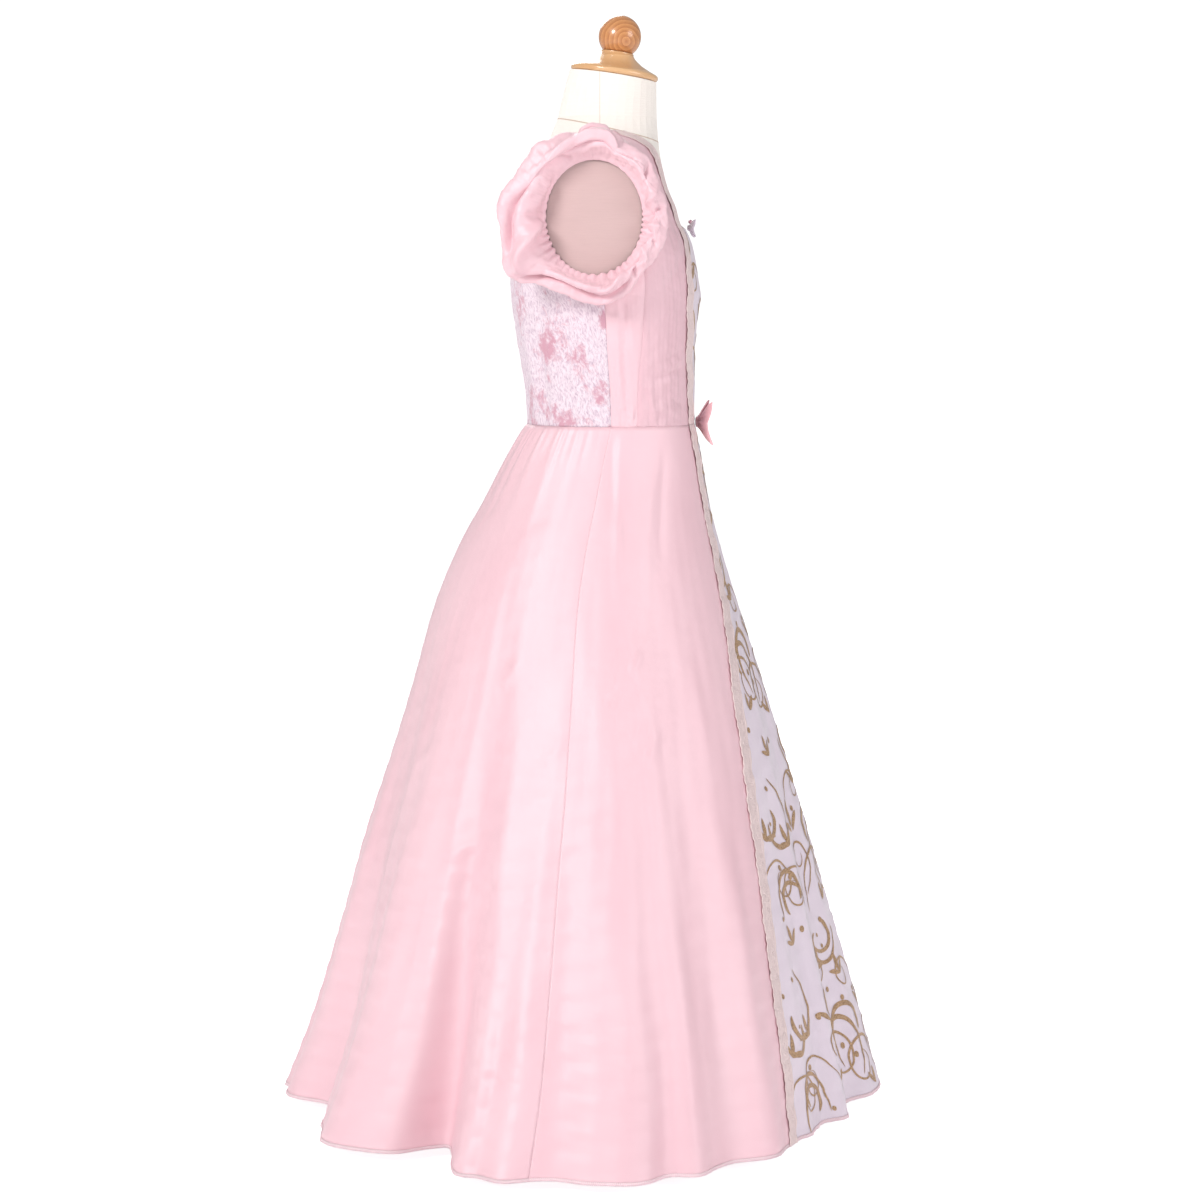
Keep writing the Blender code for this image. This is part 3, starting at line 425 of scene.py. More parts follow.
def cut(name, place, across, up, material, nodes, wall=CLOTH_WALL, rolled=False):
    """A piece of cloth from a grid that place(u, v, out) lays on its form. Its UV map is the flat
    cloth in metres. It gets a wall inwards, and stands for its CAD nodes."""
    bm = bmesh.new()
    bmesh.ops.create_grid(bm, x_segments=across, y_segments=up, size=0.5)
    bm.verts.index_update()
    share = np.array([v.co[:2] for v in bm.verts]) + 0.5
    column, row = np.rint(share[:, 0] * across).astype(int), np.rint(share[:, 1] * up).astype(int)
    u, v = share[:, 0], share[:, 1]
    spots = place(u, v, 0.0)
    lift = place(u, v, 0.001) - spots
    points = np.zeros((up + 1, across + 1, 3))
    points[row, column] = spots
    steps = np.linalg.norm(np.diff(points, axis=1), axis=2)
    flat_x = np.concatenate([np.zeros((up + 1, 1)), np.cumsum(steps, axis=1)], axis=1)
    flat_x = flat_x - flat_x[:, across // 2: across // 2 + 1]
    middle = points[:, across // 2]
    flat_y = np.concatenate([[0], np.cumsum(np.linalg.norm(np.diff(middle, axis=0), axis=1))])
    layer = bm.loops.layers.uv.new("cloth")
    for face in bm.faces:
        for loop in face.loops:
            i = loop.vert.index
            loop[layer].uv = (flat_x[row[i], column[i]], flat_y[row[i]])
    for vert, spot in zip(bm.verts, spots):
        vert.co = spot
    bm.normal_update()
    facing = sum(np.dot(face.normal, lift[face.verts[0].index]) for face in list(bm.faces)[::7])
    if facing < 0:
        bmesh.ops.reverse_faces(bm, faces=bm.faces[:])
    if rolled:
        bmesh.ops.remove_doubles(bm, verts=bm.verts[:], dist=1e-6)
    thing = placed(bm, name, material, nodes)
    solid = thing.modifiers.new("wall", "SOLIDIFY")
    solid.thickness, solid.offset, solid.use_even_offset = wall, -1.0, False
    return Cut(thing, points, flat_x, flat_y)


def satin(name, pale, deep, sheen_tint, mottle, roughness=0.36):
    """Polyester satin: fine threads, a long soft gloss along the warp, and pressed-in crumples."""
    cloth, tree, shader = finish(name)
    flat = add(tree, "UVMap", uv_map="cloth").outputs[0]
    threads = use(tree, weave, {"Place": flat, "Pitch": 0.00045, "Slub": 0.2})
    crumple = add(tree, "TexNoise", {"Vector": flat, "Scale": 20.0, "Detail": 2.5, "Roughness": 0.42,
                                     "Distortion": 0.5})
    broad = stretched(tree, "TexNoise", flat, (16, 5, 1), {"Detail": 2.0})
    share = work(tree, "ADD", work(tree, "MULTIPLY_ADD", broad.outputs[0], 0.9, -0.15),
                 work(tree, "MULTIPLY", threads.outputs["Tone"], mottle))
    tree.links.new(blend(tree, share, deep, pale), shader.inputs["Base Color"])
    fine = raised(tree, shader, threads.outputs["Height"], 0.25, 0.0002)
    raised(tree, shader, crumple.outputs[0], 0.5, 0.0022, fine)
    tree.links.new(work(tree, "MULTIPLY_ADD", broad.outputs[0], 0.10, roughness - 0.05),
                   shader.inputs["Roughness"])
    shader.inputs["Specular IOR Level"].default_value = 0.7
    shader.inputs["Anisotropic"].default_value = 0.4
    shader.inputs["Sheen Weight"].default_value = 0.35
    shader.inputs["Sheen Roughness"].default_value = 0.35
    shader.inputs["Sheen Tint"].default_value = sheen_tint
    return cloth


pink_satin = satin("pink satin", (0.90, 0.65, 0.70, 1), (0.82, 0.52, 0.58, 1), (1.0, 0.90, 0.93, 1), 0.35)
# The fronts take a darker copy of the same pink satin: painted shade, for the side that faces away from the
# lamp.
shade_painted_front_satin = satin("pink satin with painted shade", (0.81, 0.57, 0.62, 1), (0.74, 0.46, 0.52, 1),
                    (1.0, 0.90, 0.93, 1), 0.35)
white_satin = satin("white satin", (0.83, 0.74, 0.81, 1), (0.72, 0.62, 0.71, 1), (1, 1, 1, 1), 0.3)

# Crushed velvet: pale where the pile leans to the light, dusky rose where it lies the other way, in
# ragged patches on a fine vertical mottle.
velvet, tree, shader = finish("crushed velvet")
flat = add(tree, "UVMap", uv_map="cloth").outputs[0]
warped = add(tree, "TexNoise", {"Vector": flat, "Scale": 60.0, "Detail": 3.0})
shift = add(tree, "VectorMath", {0: warped.outputs[1], 3: 0.012}, operation="SCALE").outputs[0]
bent = add(tree, "VectorMath", {0: flat, 1: shift}, operation="ADD").outputs[0]
patches = stretched(tree, "TexNoise", bent, (27, 21, 1), {"Detail": 7.0, "Roughness": 0.72})
streaks = stretched(tree, "TexNoise", bent, (560, 190, 1), {"Detail": 4.0, "Roughness": 0.7})
rose = add(tree, "MapRange", {0: patches.outputs[0], 1: 0.52, 2: 0.60, 3: 0.0, 4: 0.9}).outputs[0]
grey = add(tree, "MapRange", {0: streaks.outputs[0], 1: 0.45, 2: 0.66, 3: 0.0, 4: 0.8}).outputs[0]
pile = blend(tree, grey, (0.82, 0.70, 0.76, 1), (0.47, 0.32, 0.43, 1))
tree.links.new(blend(tree, rose, pile, (0.60, 0.30, 0.38, 1)), shader.inputs["Base Color"])
relief = work(tree, "ADD", streaks.outputs[0], work(tree, "MULTIPLY", patches.outputs[0], 1.6))
raised(tree, shader, relief, 0.6, 0.0012)
shader.inputs["Roughness"].default_value = 0.75
shader.inputs["Sheen Weight"].default_value = 0.45
shader.inputs["Sheen Roughness"].default_value = 0.35
shader.inputs["Sheen Tint"].default_value = (0.96, 0.90, 0.95, 1)


def armhole(arm_angle, wider=1.0):
    """y and z of the armhole seam, arm_angle radians round from the front over the top."""
    return (ARM_Y - ARMHOLE_Y * wider * np.cos(arm_angle), ARM_Z + ARMHOLE_Z * wider * np.sin(arm_angle))


def front_outer_angle(z):
    drop = np.clip((z - ARM_Z) / ARMHOLE_Z, -1, 1)
    on_armhole = angle_at(ARM_Y - ARMHOLE_Y * np.sqrt(1 - drop**2), z, True)
    return np.where(z < ARM_Z, np.minimum(seam_angle(SEAMS, "princess", z), on_armhole), on_armhole)


def front_inner_edge(z):
    inner = seam_angle(SEAMS, "centre", z)
    inner = inner + turn_for(body, inner, z, SEAM / 2)
    return inner, np.minimum(turn_for(body, inner, z, LACE / 2), (front_outer_angle(z) - inner) / 4)


def centre_place(u, v, out):
    z = WAIST + SEAM / 2 + (NECKLINE - WAIST) * v
    z = z - NECK_DIP * (1 - (2 * u - 1) ** 2) * np.clip((z - NECK_RISE) / (NECKLINE - NECK_RISE), 0, 1)
    edge = seam_angle(SEAMS, "centre", z)
    margin = turn_for(body, edge, z, LACE / 2)
    edge = edge - turn_for(body, edge, z, SEAM / 2)
    angle = between(u, -edge, edge, margin, margin)
    loose = 0.0030 * np.sin(np.pi * u) ** 2 * ease((z - 0.77) / 0.04) * ease((NECKLINE + 0.010 - z) / 0.030)
    worn = pressed(CENTRE_CREASES, np.degrees(angle), z, 0.0016) * np.sin(np.pi * u)
    return lifted(body, angle, z, CLOTH + loose + worn + out)


def front_place(side):
    def place(u, v, out):
        z = WAIST + SEAM / 2 + (NECK_POINT - WAIST - SEAM / 2) * v
        inner, lace = front_inner_edge(z)
        outer = front_outer_angle(z)
        outer = outer - turn_for(body, outer, z, SEAM / 2)
        rest = np.clip((u - 2 * EDGE) / (1 - 2 * EDGE), 0, 1)
        angle = side * (inner + lace * np.clip(u / EDGE, 0, 2) + (outer - inner - 2 * lace) * rest)
        turn = np.degrees(angle)
        hold = ease(u / 0.15) * ease((1 - u) / 0.06)
        worn = pressed(FRONT_CREASES, turn, z, 0.0015) + rippled(turn, z, 0.0003, 0.011)
        return lifted(body, angle, z, CLOTH + worn * hold - GROOVE * np.exp(-(((1 - u) / 0.03) ** 2)) + out)

    return place


def side_place(side):
    def place(u, v, out):
        low = WAIST + SEAM / 2
        guess = seam_angle(SEAMS, "princess", MID_SIDE + 0 * u) * (1 - u) + np.radians(SIDE_SEAM) * u
        y = section(FORM, guess, MID_SIDE + 0 * u)[1]
        top = ARM_Z - ARMHOLE_Z * np.sqrt(1 - np.clip((ARM_Y - y) / ARMHOLE_Y, -1, 1) ** 2)
        z = low + (top - low) * v
        first = seam_angle(SEAMS, "princess", z)
        first = first + turn_for(body, first, z, SEAM / 2)
        last = np.radians(SIDE_SEAM) - turn_for(body, np.radians(SIDE_SEAM) + 0 * z, z, SEAM / 2)
        angle = side * (first + (last - first) * u)
        turn = np.degrees(angle)
        worn = pressed(SIDE_CREASES, turn, z, 0.0016) + rippled(turn, z, 0.0003, 0.008)
        worn = worn * np.sin(np.pi * u) ** 0.5
        seams = np.exp(-((u / 0.06) ** 2)) + np.exp(-(((1 - u) / 0.06) ** 2))
        return lifted(body, angle, z, CLOTH + worn - GROOVE * seams + out)

    return place


def back_place(u, v, out):
    seam = np.radians(SIDE_SEAM) + turn_for(body, np.radians(SIDE_SEAM) + 0 * u, WAIST + 0 * u, SEAM / 2)
    low, under_arm = WAIST + SEAM / 2, ARM_Z - ARMHOLE_Z + SEAM
    up_seam = np.clip(v / BACK_SEAM_SHARE, 0, 1)
    round_arm = np.clip((v - BACK_SEAM_SHARE) / (1 - BACK_SEAM_SHARE), 0, 1)
    y, z = armhole(-np.pi / 2 - np.pi * round_arm)
    z = np.minimum(z, SHOULDER)
    side_angle = np.where(v <= BACK_SEAM_SHARE, seam, np.maximum(angle_at(y, z, False), seam))
    side_z = np.where(v <= BACK_SEAM_SHARE, low + (under_arm - low) * up_seam, z)
    along = np.clip((np.abs(2 * u - 1) - 1 + SHOULDER_SHARE) / SHOULDER_SHARE, 0, 1)
    neck = np.clip(np.abs(2 * u - 1) / (1 - SHOULDER_SHARE), 0, 1)
    top_angle = np.pi + np.sign(u - 0.5) * neck * (np.pi - seam)
    top_z = np.where(along > 0, NECK_POINT + (SHOULDER - NECK_POINT) * along,
                     BACK_NECK + (NECK_POINT - BACK_NECK) * neck**2.4)
    bottom_angle = seam + (2 * np.pi - 2 * seam) * u
    corner = (1 - u) * seam + u * (2 * np.pi - seam)
    angle = ((1 - v) * bottom_angle + v * top_angle
             + (1 - u) * side_angle + u * (2 * np.pi - side_angle) - corner)
    z = (1 - v) * low + v * top_z + side_z - (1 - v) * low - v * SHOULDER
    turn = (np.degrees(angle) + 180) % 360 - 180
    hold = ease(u / 0.05) * ease((1 - u) / 0.05)
    worn = pressed(BACK_CREASES, turn, z, 0.0016) + rippled(turn, z, 0.0004, 0.010)
    seams = np.exp(-((u / 0.008) ** 2)) + np.exp(-(((1 - u) / 0.008) ** 2))
    return lifted(body, angle, z, CLOTH + worn * hold - GROOVE * seams + out)


back = cut("velvet_back", back_place, 150, 120, velvet, ["bodice_back"])
centre = cut("white_centre_front", centre_place, 60, 90, white_satin, ["bodice_centre"])
for side, mark in ((1, "R"), (-1, "L")):
    front = cut(f"pink_front_{mark}", front_place(side), 60, 150, shade_painted_front_satin,
                [f"bodice_front_{mark}"])
    flank = cut(f"pink_side_{mark}", side_place(side), 30, 90, pink_satin,
                [f"bodice_side_{mark}"])

# The puffed sleeves: pink satin, gathered into the armhole and on to an elastic round the arm opening.
# The cloth blouses out between them, in a few large folds over a ruffle of small ones at the elastic.
CUFF_Y, CUFF_Z, CUFF_X = 0.046, 0.054, 0.1238
Puff = namedtuple("Puff", "angle reach ridge face")
PUFF = [Puff(*row) for row in [
    (-163, 0.0905, 0.138, 0.147), (-149, 0.0975, 0.136, 0.145), (-140, 0.0935, 0.133, 0.141),
    (-131, 0.082, 0.131, 0.136), (-112, 0.0775, 0.13, 0.137), (-85, 0.082, 0.13, 0.138),
    (-65, 0.077, 0.129, 0.136), (-48, 0.0685, 0.127, 0.133), (-15, 0.07, 0.128, 0.137),
    (5, 0.0687, 0.129, 0.135), (27, 0.0685, 0.129, 0.138), (51, 0.0755, 0.13, 0.139),
    (71, 0.074, 0.129, 0.136), (83, 0.087, 0.132, 0.142), (92, 0.0885, 0.133, 0.144),
    (103, 0.085, 0.133, 0.141), (121, 0.083, 0.135, 0.145), (151, 0.0835, 0.138, 0.149),
    (172, 0.091, 0.14, 0.15),
]]
# Folds of the sleeve: from one place to another, as degrees round the opening from the front over
# the top and a share of the way from the armhole to the elastic, then half width and height.
Tuck = namedtuple("Tuck", "turn along to_turn to_along width height")
TUCKS = [Tuck(*row) for row in [
    (202, 0.52, 158, 0.66, 0.006, 0.0066), (160, 0.66, 114, 0.9, 0.0052, 0.006),
    (186, 0.9, 214, 0.56, 0.0062, -0.0072), (176, 0.84, 140, 0.9, 0.006, -0.003),
    (128, 0.82, 94, 0.78, 0.0034, 0.0046), (96, 0.78, 56, 0.62, 0.0034, 0.0046),
    (122, 0.66, 72, 0.56, 0.007, -0.0044), (112, 0.18, 100, 0.5, 0.006, 0.0056),
    (100, 0.5, 76, 0.44, 0.0044, 0.0048), (76, 0.44, 62, 0.3, 0.005, -0.0034),
    (140, 0.2, 126, 0.46, 0.008, -0.003), (196, 0.2, 184, 0.44, 0.008, 0.0026),
    (220, 0.5, 246, 0.64, 0.0042, 0.0052), (246, 0.64, 276, 0.52, 0.0042, 0.005),
    (276, 0.52, 300, 0.54, 0.004, 0.0046), (232, 0.72, 272, 0.74, 0.006, -0.0046),
    (276, 0.66, 298, 0.8, 0.0044, -0.0044), (306, 0.5, 316, 0.86, 0.0038, 0.004),
    (318, 0.52, 330, 0.84, 0.004, -0.0044), (336, 0.56, 346, 0.9, 0.0032, 0.0034),
    (352, 0.6, 352, 0.92, 0.0032, -0.0032), (8, 0.5, 2, 0.88, 0.0034, 0.0034),
    (24, 0.52, 14, 0.9, 0.004, -0.0036), (44, 0.46, 30, 0.84, 0.0044, 0.0038),
    (28, 0.18, 34, 0.4, 0.006, -0.0026), (250, 0.18, 244, 0.4, 0.006, 0.0026),
    (275, 0.14, 282, 0.36, 0.006, -0.0026), (330, 0.18, 322, 0.38, 0.006, 0.0026),
]]


def side_point(y, z, out):
    front, back = read(FORM, "front", z), read(FORM, "back", z)
    ahead = y < (front + back) / 2
    return lifted(body, np.where(ahead, angle_at(y, z, True), angle_at(y, z, False)), z, out)


def sleeve(arm_angle, along):
    """The right sleeve's skin without its folds, from the armhole (0) over the puff to the elastic (1)."""
    turn = (np.degrees(arm_angle) + 180) % 360 - 180
    wrapped = [row._replace(angle=row.angle + 360 * k) for k in (-1, 0, 1) for row in PUFF]
    reach, ridge, face = (read(wrapped, name, turn) for name in Puff._fields[1:])
    outwards = np.stack([0 * turn, -np.cos(arm_angle), np.sin(arm_angle)], axis=-1)
    middle = np.array([0, ARM_Y, ARM_Z])

    def at(radius, x):
        return middle + outwards * radius[..., None] - np.array([1, 0, 0]) * (x + 0 * radius)[..., None]

    cuff = 1 / np.hypot(np.cos(arm_angle) / CUFF_Y, np.sin(arm_angle) / CUFF_Z)
    y, z = armhole(arm_angle, 1.04)
    stations = np.stack([
        side_point(y, z, CLOTH + 0.0006), side_point(y, z, CLOTH + 0.0045),
        at(reach - 0.003, ridge - 0.012), at(reach, ridge), at(reach * 0.9, (ridge + face) / 2 + 0.002),
        at(reach * 0.45 + cuff * 0.55, face), at(cuff + 0.0045, CUFF_X + 0.0042 + 0 * face),
        at(cuff, CUFF_X + 0 * face),
    ])
    knots = np.array([0, 0.07, 0.32, 0.45, 0.56, 0.76, 0.93, 1])
    k = np.clip(np.searchsorted(knots, along) - 1, 0, len(knots) - 2)
    index = np.arange(len(turn))
    run = (knots[k + 1] - knots[k])[:, None]
    s = np.clip((along - knots[k])[:, None] / run, 0, 1)

    def slope(n):
        low, high = np.clip(n - 1, 0, len(knots) - 1), np.clip(n + 1, 0, len(knots) - 1)
        return (stations[high, index] - stations[low, index]) / (knots[high] - knots[low])[:, None]

    return (stations[k, index] * (2 * s**3 - 3 * s**2 + 1) + stations[k + 1, index] * (3 * s**2 - 2 * s**3)
            + slope(k) * run * (s**3 - 2 * s**2 + s) + slope(k + 1) * run * (s**3 - s**2))


def sleeve_place(side):
    def place(u, v, out):
        turn, step = u * 2 * np.pi, 1e-3
        across = sleeve(turn + step, v) - sleeve(turn - step, v)
        low, high = np.clip(v - step, 0, 1), np.clip(v + step, 0, 1)
        normal = np.cross(sleeve(turn, high) - sleeve(turn, low), across)
        normal = normal / np.linalg.norm(normal, axis=-1, keepdims=True)
        uneven = turn * side + (0.3 if side < 0 else 0)
        degrees = np.degrees(uneven) % 360
        folds = sum(pressed_tuck(tuck, degrees, v) for tuck in TUCKS)
        below = ease((np.cos(turn - np.radians(262)) + 0.45) / 0.5)
        ruffle = ease((v - 0.84) / 0.13) * (0.15 + 0.85 * below)
        wave = np.sin(46 * turn + 2.1 * np.sin(3 * turn) + 1.3 * np.sin(7 * turn + 1))
        wave = wave * (0.8 + 0.4 * np.sin(5 * turn + 2))
        shirred = ease(1 - v / 0.28) * np.sin(34 * turn + 1.7 * np.sin(4 * turn)) * ease(v / 0.05)
        moved = folds * ease(v / 0.1) * ease((1 - v) / 0.12) + 0.0013 * ruffle * wave + 0.0004 * shirred
        moved = moved + rippled(np.degrees(turn), v * 0.12, 0.0005, 0.012) * ease((1 - v) / 0.1)
        point = sleeve(turn, v) + normal * (moved + out)[:, None]
        return point * np.array([side, 1, 1])

    return place


def pressed_tuck(tuck, degrees, along):
    """One fold's height at each place on the sleeve."""
    round_scale, along_scale = 0.0013, 0.115
    x0 = ((degrees - tuck.turn + 180) % 360 - 180) * round_scale
    z0 = (along - tuck.along) * along_scale
    ex, ez = (tuck.to_turn - tuck.turn) * round_scale, (tuck.to_along - tuck.along) * along_scale
    share = (x0 * ex + z0 * ez) / (ex * ex + ez * ez)
    held = np.clip(share, 0, 1)
    away = np.hypot(x0 - held * ex, z0 - held * ez)
    fade = ease((share + 0.2) / 0.4) * ease((1.2 - share) / 0.4)
    return 1.5 * tuck.height * fade * np.exp(-((away / tuck.width) ** 1.5))


for side, mark in ((1, "R"), (-1, "L")):
    puff = cut(f"puffed_sleeve_{mark}", sleeve_place(side), 300, 84, pink_satin,
               [f"sleeve_{mark}"], rolled=True)

# The skirt: a white front, a smooth pink gore at each side and a wide pink back that is gathered under
# the velvet. It falls from the waist seam in soft columns that spread to the hem.
SKIRT = [Section(*row) for row in [
    (0.01, -0.269, 0.3225, 0.33, 2.0), (0.095, -0.2465, 0.2915, 0.311, 2.0),
    (0.178, -0.223, 0.268, 0.289, 2.0), (0.26, -0.2, 0.246, 0.262, 2.0),
    (0.342, -0.1765, 0.2205, 0.233, 2.0), (0.423, -0.152, 0.196, 0.203, 2.0),
    (0.503, -0.1265, 0.1735, 0.17, 2.0), (0.564, -0.1085, 0.148, 0.143, 2.0),
    (0.603, -0.0985, 0.126, 0.124, 2.05), (0.643, -0.0915, 0.105, 0.106, 2.1),
    (0.663, -0.0876, 0.093, 0.099, 2.15), (0.68, -0.0838, 0.0821, 0.0941, 2.2),
]]
SkirtSeam = namedtuple("SkirtSeam", "z lace side")
SKIRT_SEAMS = [SkirtSeam(*row) for row in [
    (0.01, 44.5, 99.0), (0.14, 43.0, 98.0), (0.233, 40.5, 97.0), (0.325, 38.0, 96.0),
    (0.416, 34.0, 95.0), (0.51, 25.0, 93.0), (0.57, 20.0, 91.5), (0.62, 19.0, 90.5), (0.68, 20.5, 90.0),
]]
# Its folds: the turn at the hem and at the waist, half the width in degrees, the height as a share of
# the skirt's half width (a ridge is positive) and where the fold starts.
Fold = namedtuple("Fold", "hem_turn waist_turn half_width height top")
LARGE_FOLDS = [Fold(*row) for row in [
    (0, 0, 9, 0.02, 0.6), (15, 12, 11, -0.075, 0.58), (34, 27, 26, -0.085, 0.5),
    (92, 84, 34, 0.06, 0.56), (121, 118, 12, -0.15, 0.42), (141, 136, 11, 0.055, 0.56),
    (160, 158, 14, -0.13, 0.5), (180, 180, 12, 0.025, 0.6), (-16, -12, 11, -0.07, 0.58),
    (-35, -28, 26, -0.08, 0.5), (-88, -82, 32, 0.055, 0.56), (-118, -115, 12, -0.14, 0.44),
    (-138, -134, 12, 0.055, 0.56), (-159, -157, 13, -0.125, 0.5),
]]
SMALL_FOLDS = [Fold(*row) for row in [
    (104, 99, 5, 0.014, 0.34), (95, 93, 8, -0.026, 0.56), (81, 82, 7, 0.016, 0.62),
    (75, 77, 4, -0.009, 0.5), (69.5, 73, 4, 0.016, 0.6), (61, 64, 7, -0.02, 0.58),
    (52, 54, 5, 0.012, 0.55), (112, 108, 6, 0.01, 0.6), (128, 124, 4, 0.01, 0.58),
    (147, 143, 4, -0.012, 0.6), (153, 151, 4, 0.012, 0.5), (170, 168, 5, 0.014, 0.58),
    (9, 7, 4, 0.01, 0.6), (24, 20, 5, 0.014, 0.55), (30, 25, 4, -0.008, 0.45), (38, 30, 4, 0.01, 0.4),
    (-8, -6, 4, 0.012, 0.58), (-25, -20, 5, 0.014, 0.56), (-38, -31, 5, 0.01, 0.42),
    (-54, -55, 6, 0.014, 0.58), (-63, -66, 7, -0.018, 0.6), (-72, -75, 5, 0.014, 0.62),
    (-80, -82, 5, -0.01, 0.5), (-91, -89, 7, 0.014, 0.56), (-100, -96, 8, -0.024, 0.58),
    (-109, -105, 5, 0.012, 0.55), (-127, -123, 4, 0.01, 0.58), (-146, -142, 5, -0.01, 0.6),
    (-152, -150, 4, 0.012, 0.52), (-169, -167, 5, 0.014, 0.56), (176, 177, 3, -0.01, 0.6),
    (113, 111, 5, 0.016, 0.6), (122, 119, 6, -0.022, 0.6), (-112, -110, 5, 0.014, 0.6),
    (-120, -117, 6, -0.02, 0.6),
]]
SKIRT_CREASES = [Crease(*row) for row in [
    (89, 0.688, 80, 0.59, 0.006, -0.0022), (86, 0.688, 77, 0.56, 0.005, 0.0016),
    (80, 0.6, 73, 0.43, 0.007, 0.0014), (71, 0.47, 76, 0.452, 0.004, 0.0014),
    (79, 0.44, 84, 0.428, 0.0045, -0.0012), (68, 0.4, 74, 0.372, 0.005, 0.0012),
    (96, 0.392, 102, 0.376, 0.005, 0.0012), (113, 0.462, 118, 0.44, 0.0055, 0.0014),
    (119, 0.3, 127, 0.28, 0.006, 0.0016), (88, 0.3, 96, 0.29, 0.005, -0.001),
    (62, 0.64, 66, 0.52, 0.006, 0.0012), (54, 0.655, 58, 0.56, 0.005, -0.001),
    (100, 0.103, 134, 0.098, 0.0016, 0.0009), (-100, 0.103, -136, 0.099, 0.0016, 0.0009),
    (-88, 0.688, -80, 0.596, 0.006, -0.002), (-84, 0.688, -75, 0.57, 0.005, 0.0016),
    (-78, 0.61, -72, 0.44, 0.007, 0.0014), (-70, 0.452, -76, 0.436, 0.0045, 0.0014),
    (-84, 0.392, -92, 0.376, 0.005, -0.0012), (-60, 0.3, -68, 0.282, 0.0055, 0.0012),
    (-118, 0.372, -126, 0.35, 0.006, 0.0014), (-140, 0.3, -147, 0.284, 0.006, 0.0014),
    (142, 0.372, 150, 0.352, 0.006, 0.0014), (166, 0.262, 173, 0.246, 0.006, 0.0014),
    (8, 0.5, 15, 0.486, 0.005, 0.001), (-22, 0.342, -14, 0.33, 0.0055, 0.0012),
    (20, 0.222, 28, 0.208, 0.0055, 0.0012), (-36, 0.182, -28, 0.17, 0.006, 0.0012),
]]


def skirt(angle, z):
    """The skirt's skin with all of its folds, and the gathers of its back under the waist."""
    x, y = section(SKIRT, angle, z)
    down = np.clip((WAIST - z) / (WAIST - HEM), 0, 1)
    turn = np.degrees(angle)
    swell = np.ones_like(x)
    for fold in LARGE_FOLDS + SMALL_FOLDS:
        middle = fold.waist_turn + (fold.hem_turn - fold.waist_turn) * down
        off = np.abs((turn - middle + 180) % 360 - 180) / fold.half_width
        grow = np.clip((fold.top - z) / (fold.top - HEM), 0, 1) ** (1.2 if fold in LARGE_FOLDS else 1.3)
        swell = swell + fold.height * (1.0 if fold in LARGE_FOLDS else 1.5) * grow * ease(1 - off)
    front, back = read(SKIRT, "front", z), read(SKIRT, "back", z)
    middle_y = (front + back) / 2
    x, y = x * swell, middle_y + (y - middle_y) * swell
    from_back = (turn + 360) % 360
    behind = ease((np.minimum(from_back, 360 - from_back) - SIDE_SEAM - 1) / 7)
    uneven = angle + 0.02 * np.sin(9 * angle + 0.6) + 0.013 * np.sin(23 * angle + 2)
    wave = 0.5 + 0.5 * np.cos(66 * uneven)
    broad = 0.5 + 0.5 * np.cos(27 * uneven + 1.4 * np.sin(5 * angle))
    fallen = WAIST - z
    puff = 0.0010 * wave * ease(1 - fallen / 0.05) + 0.0016 * broad * ease(1 - fallen / 0.14)
    puff = behind * puff * ease((fallen + 0.004) / 0.012)
    size = np.hypot(x, y - middle_y)
    return np.stack([x * (1 + puff / size), y + (y - middle_y) * puff / size, z + 0 * x], axis=-1)


def gore_place(first_seam, last_seam, first_margin, last_margin):
    def place(u, v, out):
        z = HEM + (WAIST - SEAM / 2 - HEM) * v
        first, last = first_seam(z), last_seam(z)
        first = first + turn_for(skirt, first, z, SEAM / 2)
        last = last - turn_for(skirt, last, z, SEAM / 2)
        margins = [turn_for(skirt, seam, z, LACE / 2) * on + (last - first) * EDGE * (1 - on)
                   for seam, on in ((first, first_margin), (last, last_margin))]
        angle = between(u, first, last, *margins)
        turn = (np.degrees(angle) + 180) % 360 - 180
        radius = np.radians(1) * (read(SKIRT, "back", z) - read(SKIRT, "front", z)) / 2
        slack = rippled(turn, z, 0.0006, 0.016) * np.clip((WAIST - z) / 0.45, 0.0, 1)
        worn = pressed(SKIRT_CREASES, turn, z, radius) + slack
        return lifted(skirt, angle, z, worn * ease((WAIST - z) / 0.02) + out)

    return place


def lace_right(z):
    return seam_angle(SKIRT_SEAMS, "lace", z)


def lace_left(z):
    return -lace_right(z)


def side_right(z):
    return seam_angle(SKIRT_SEAMS, "side", z)


def side_left(z):
    return -side_right(z)


def back_left(z):
    return 2 * np.pi - side_right(z)


skirt_front = cut("white_skirt_front", gore_place(lace_left, lace_right, 1, 1), 110, 160, white_satin,
                  ["skirt_front"])
gore_right = cut("pink_gore_R", gore_place(lace_right, side_right, 1, 0), 110, 170, pink_satin,
                 ["skirt_side_R"])
gore_left = cut("pink_gore_L", gore_place(side_left, lace_left, 0, 1), 110, 170, pink_satin,
                ["skirt_side_L"])
skirt_back = cut("pink_skirt_back", gore_place(side_right, back_left, 0, 0), 270, 160, pink_satin,
                 ["skirt_back"])

# Gold lace: a narrow band with a netted ground, a corded edge on one side and small scallops on the
# other. It is sewn over the seams between the white and the pink, from the shoulders to the hem.
SCALLOP, LACE_LIFT, LACE_WALL = 0.0085, 0.0003, 0.0004
lace_finish, tree, shader = finish("gold lace")
flat = add(tree, "UVMap", uv_map="cloth").outputs[0]
split = add(tree, "SeparateXYZ", {0: flat})
across, along = split.outputs[0], split.outputs[1]
net = stretched(tree, "TexVoronoi", flat, (620, 620, 1), {"Randomness": 0.75}, feature="DISTANCE_TO_EDGE")
thread = add(tree, "MapRange", {0: net.outputs[0], 1: 0.05, 2: 0.24, 3: 1.0, 4: 0.0}).outputs[0]
sprig = work(tree, "SINE", work(tree, "MULTIPLY", along, math.tau / SCALLOP))
sway = work(tree, "MULTIPLY", sprig, 0.0026)
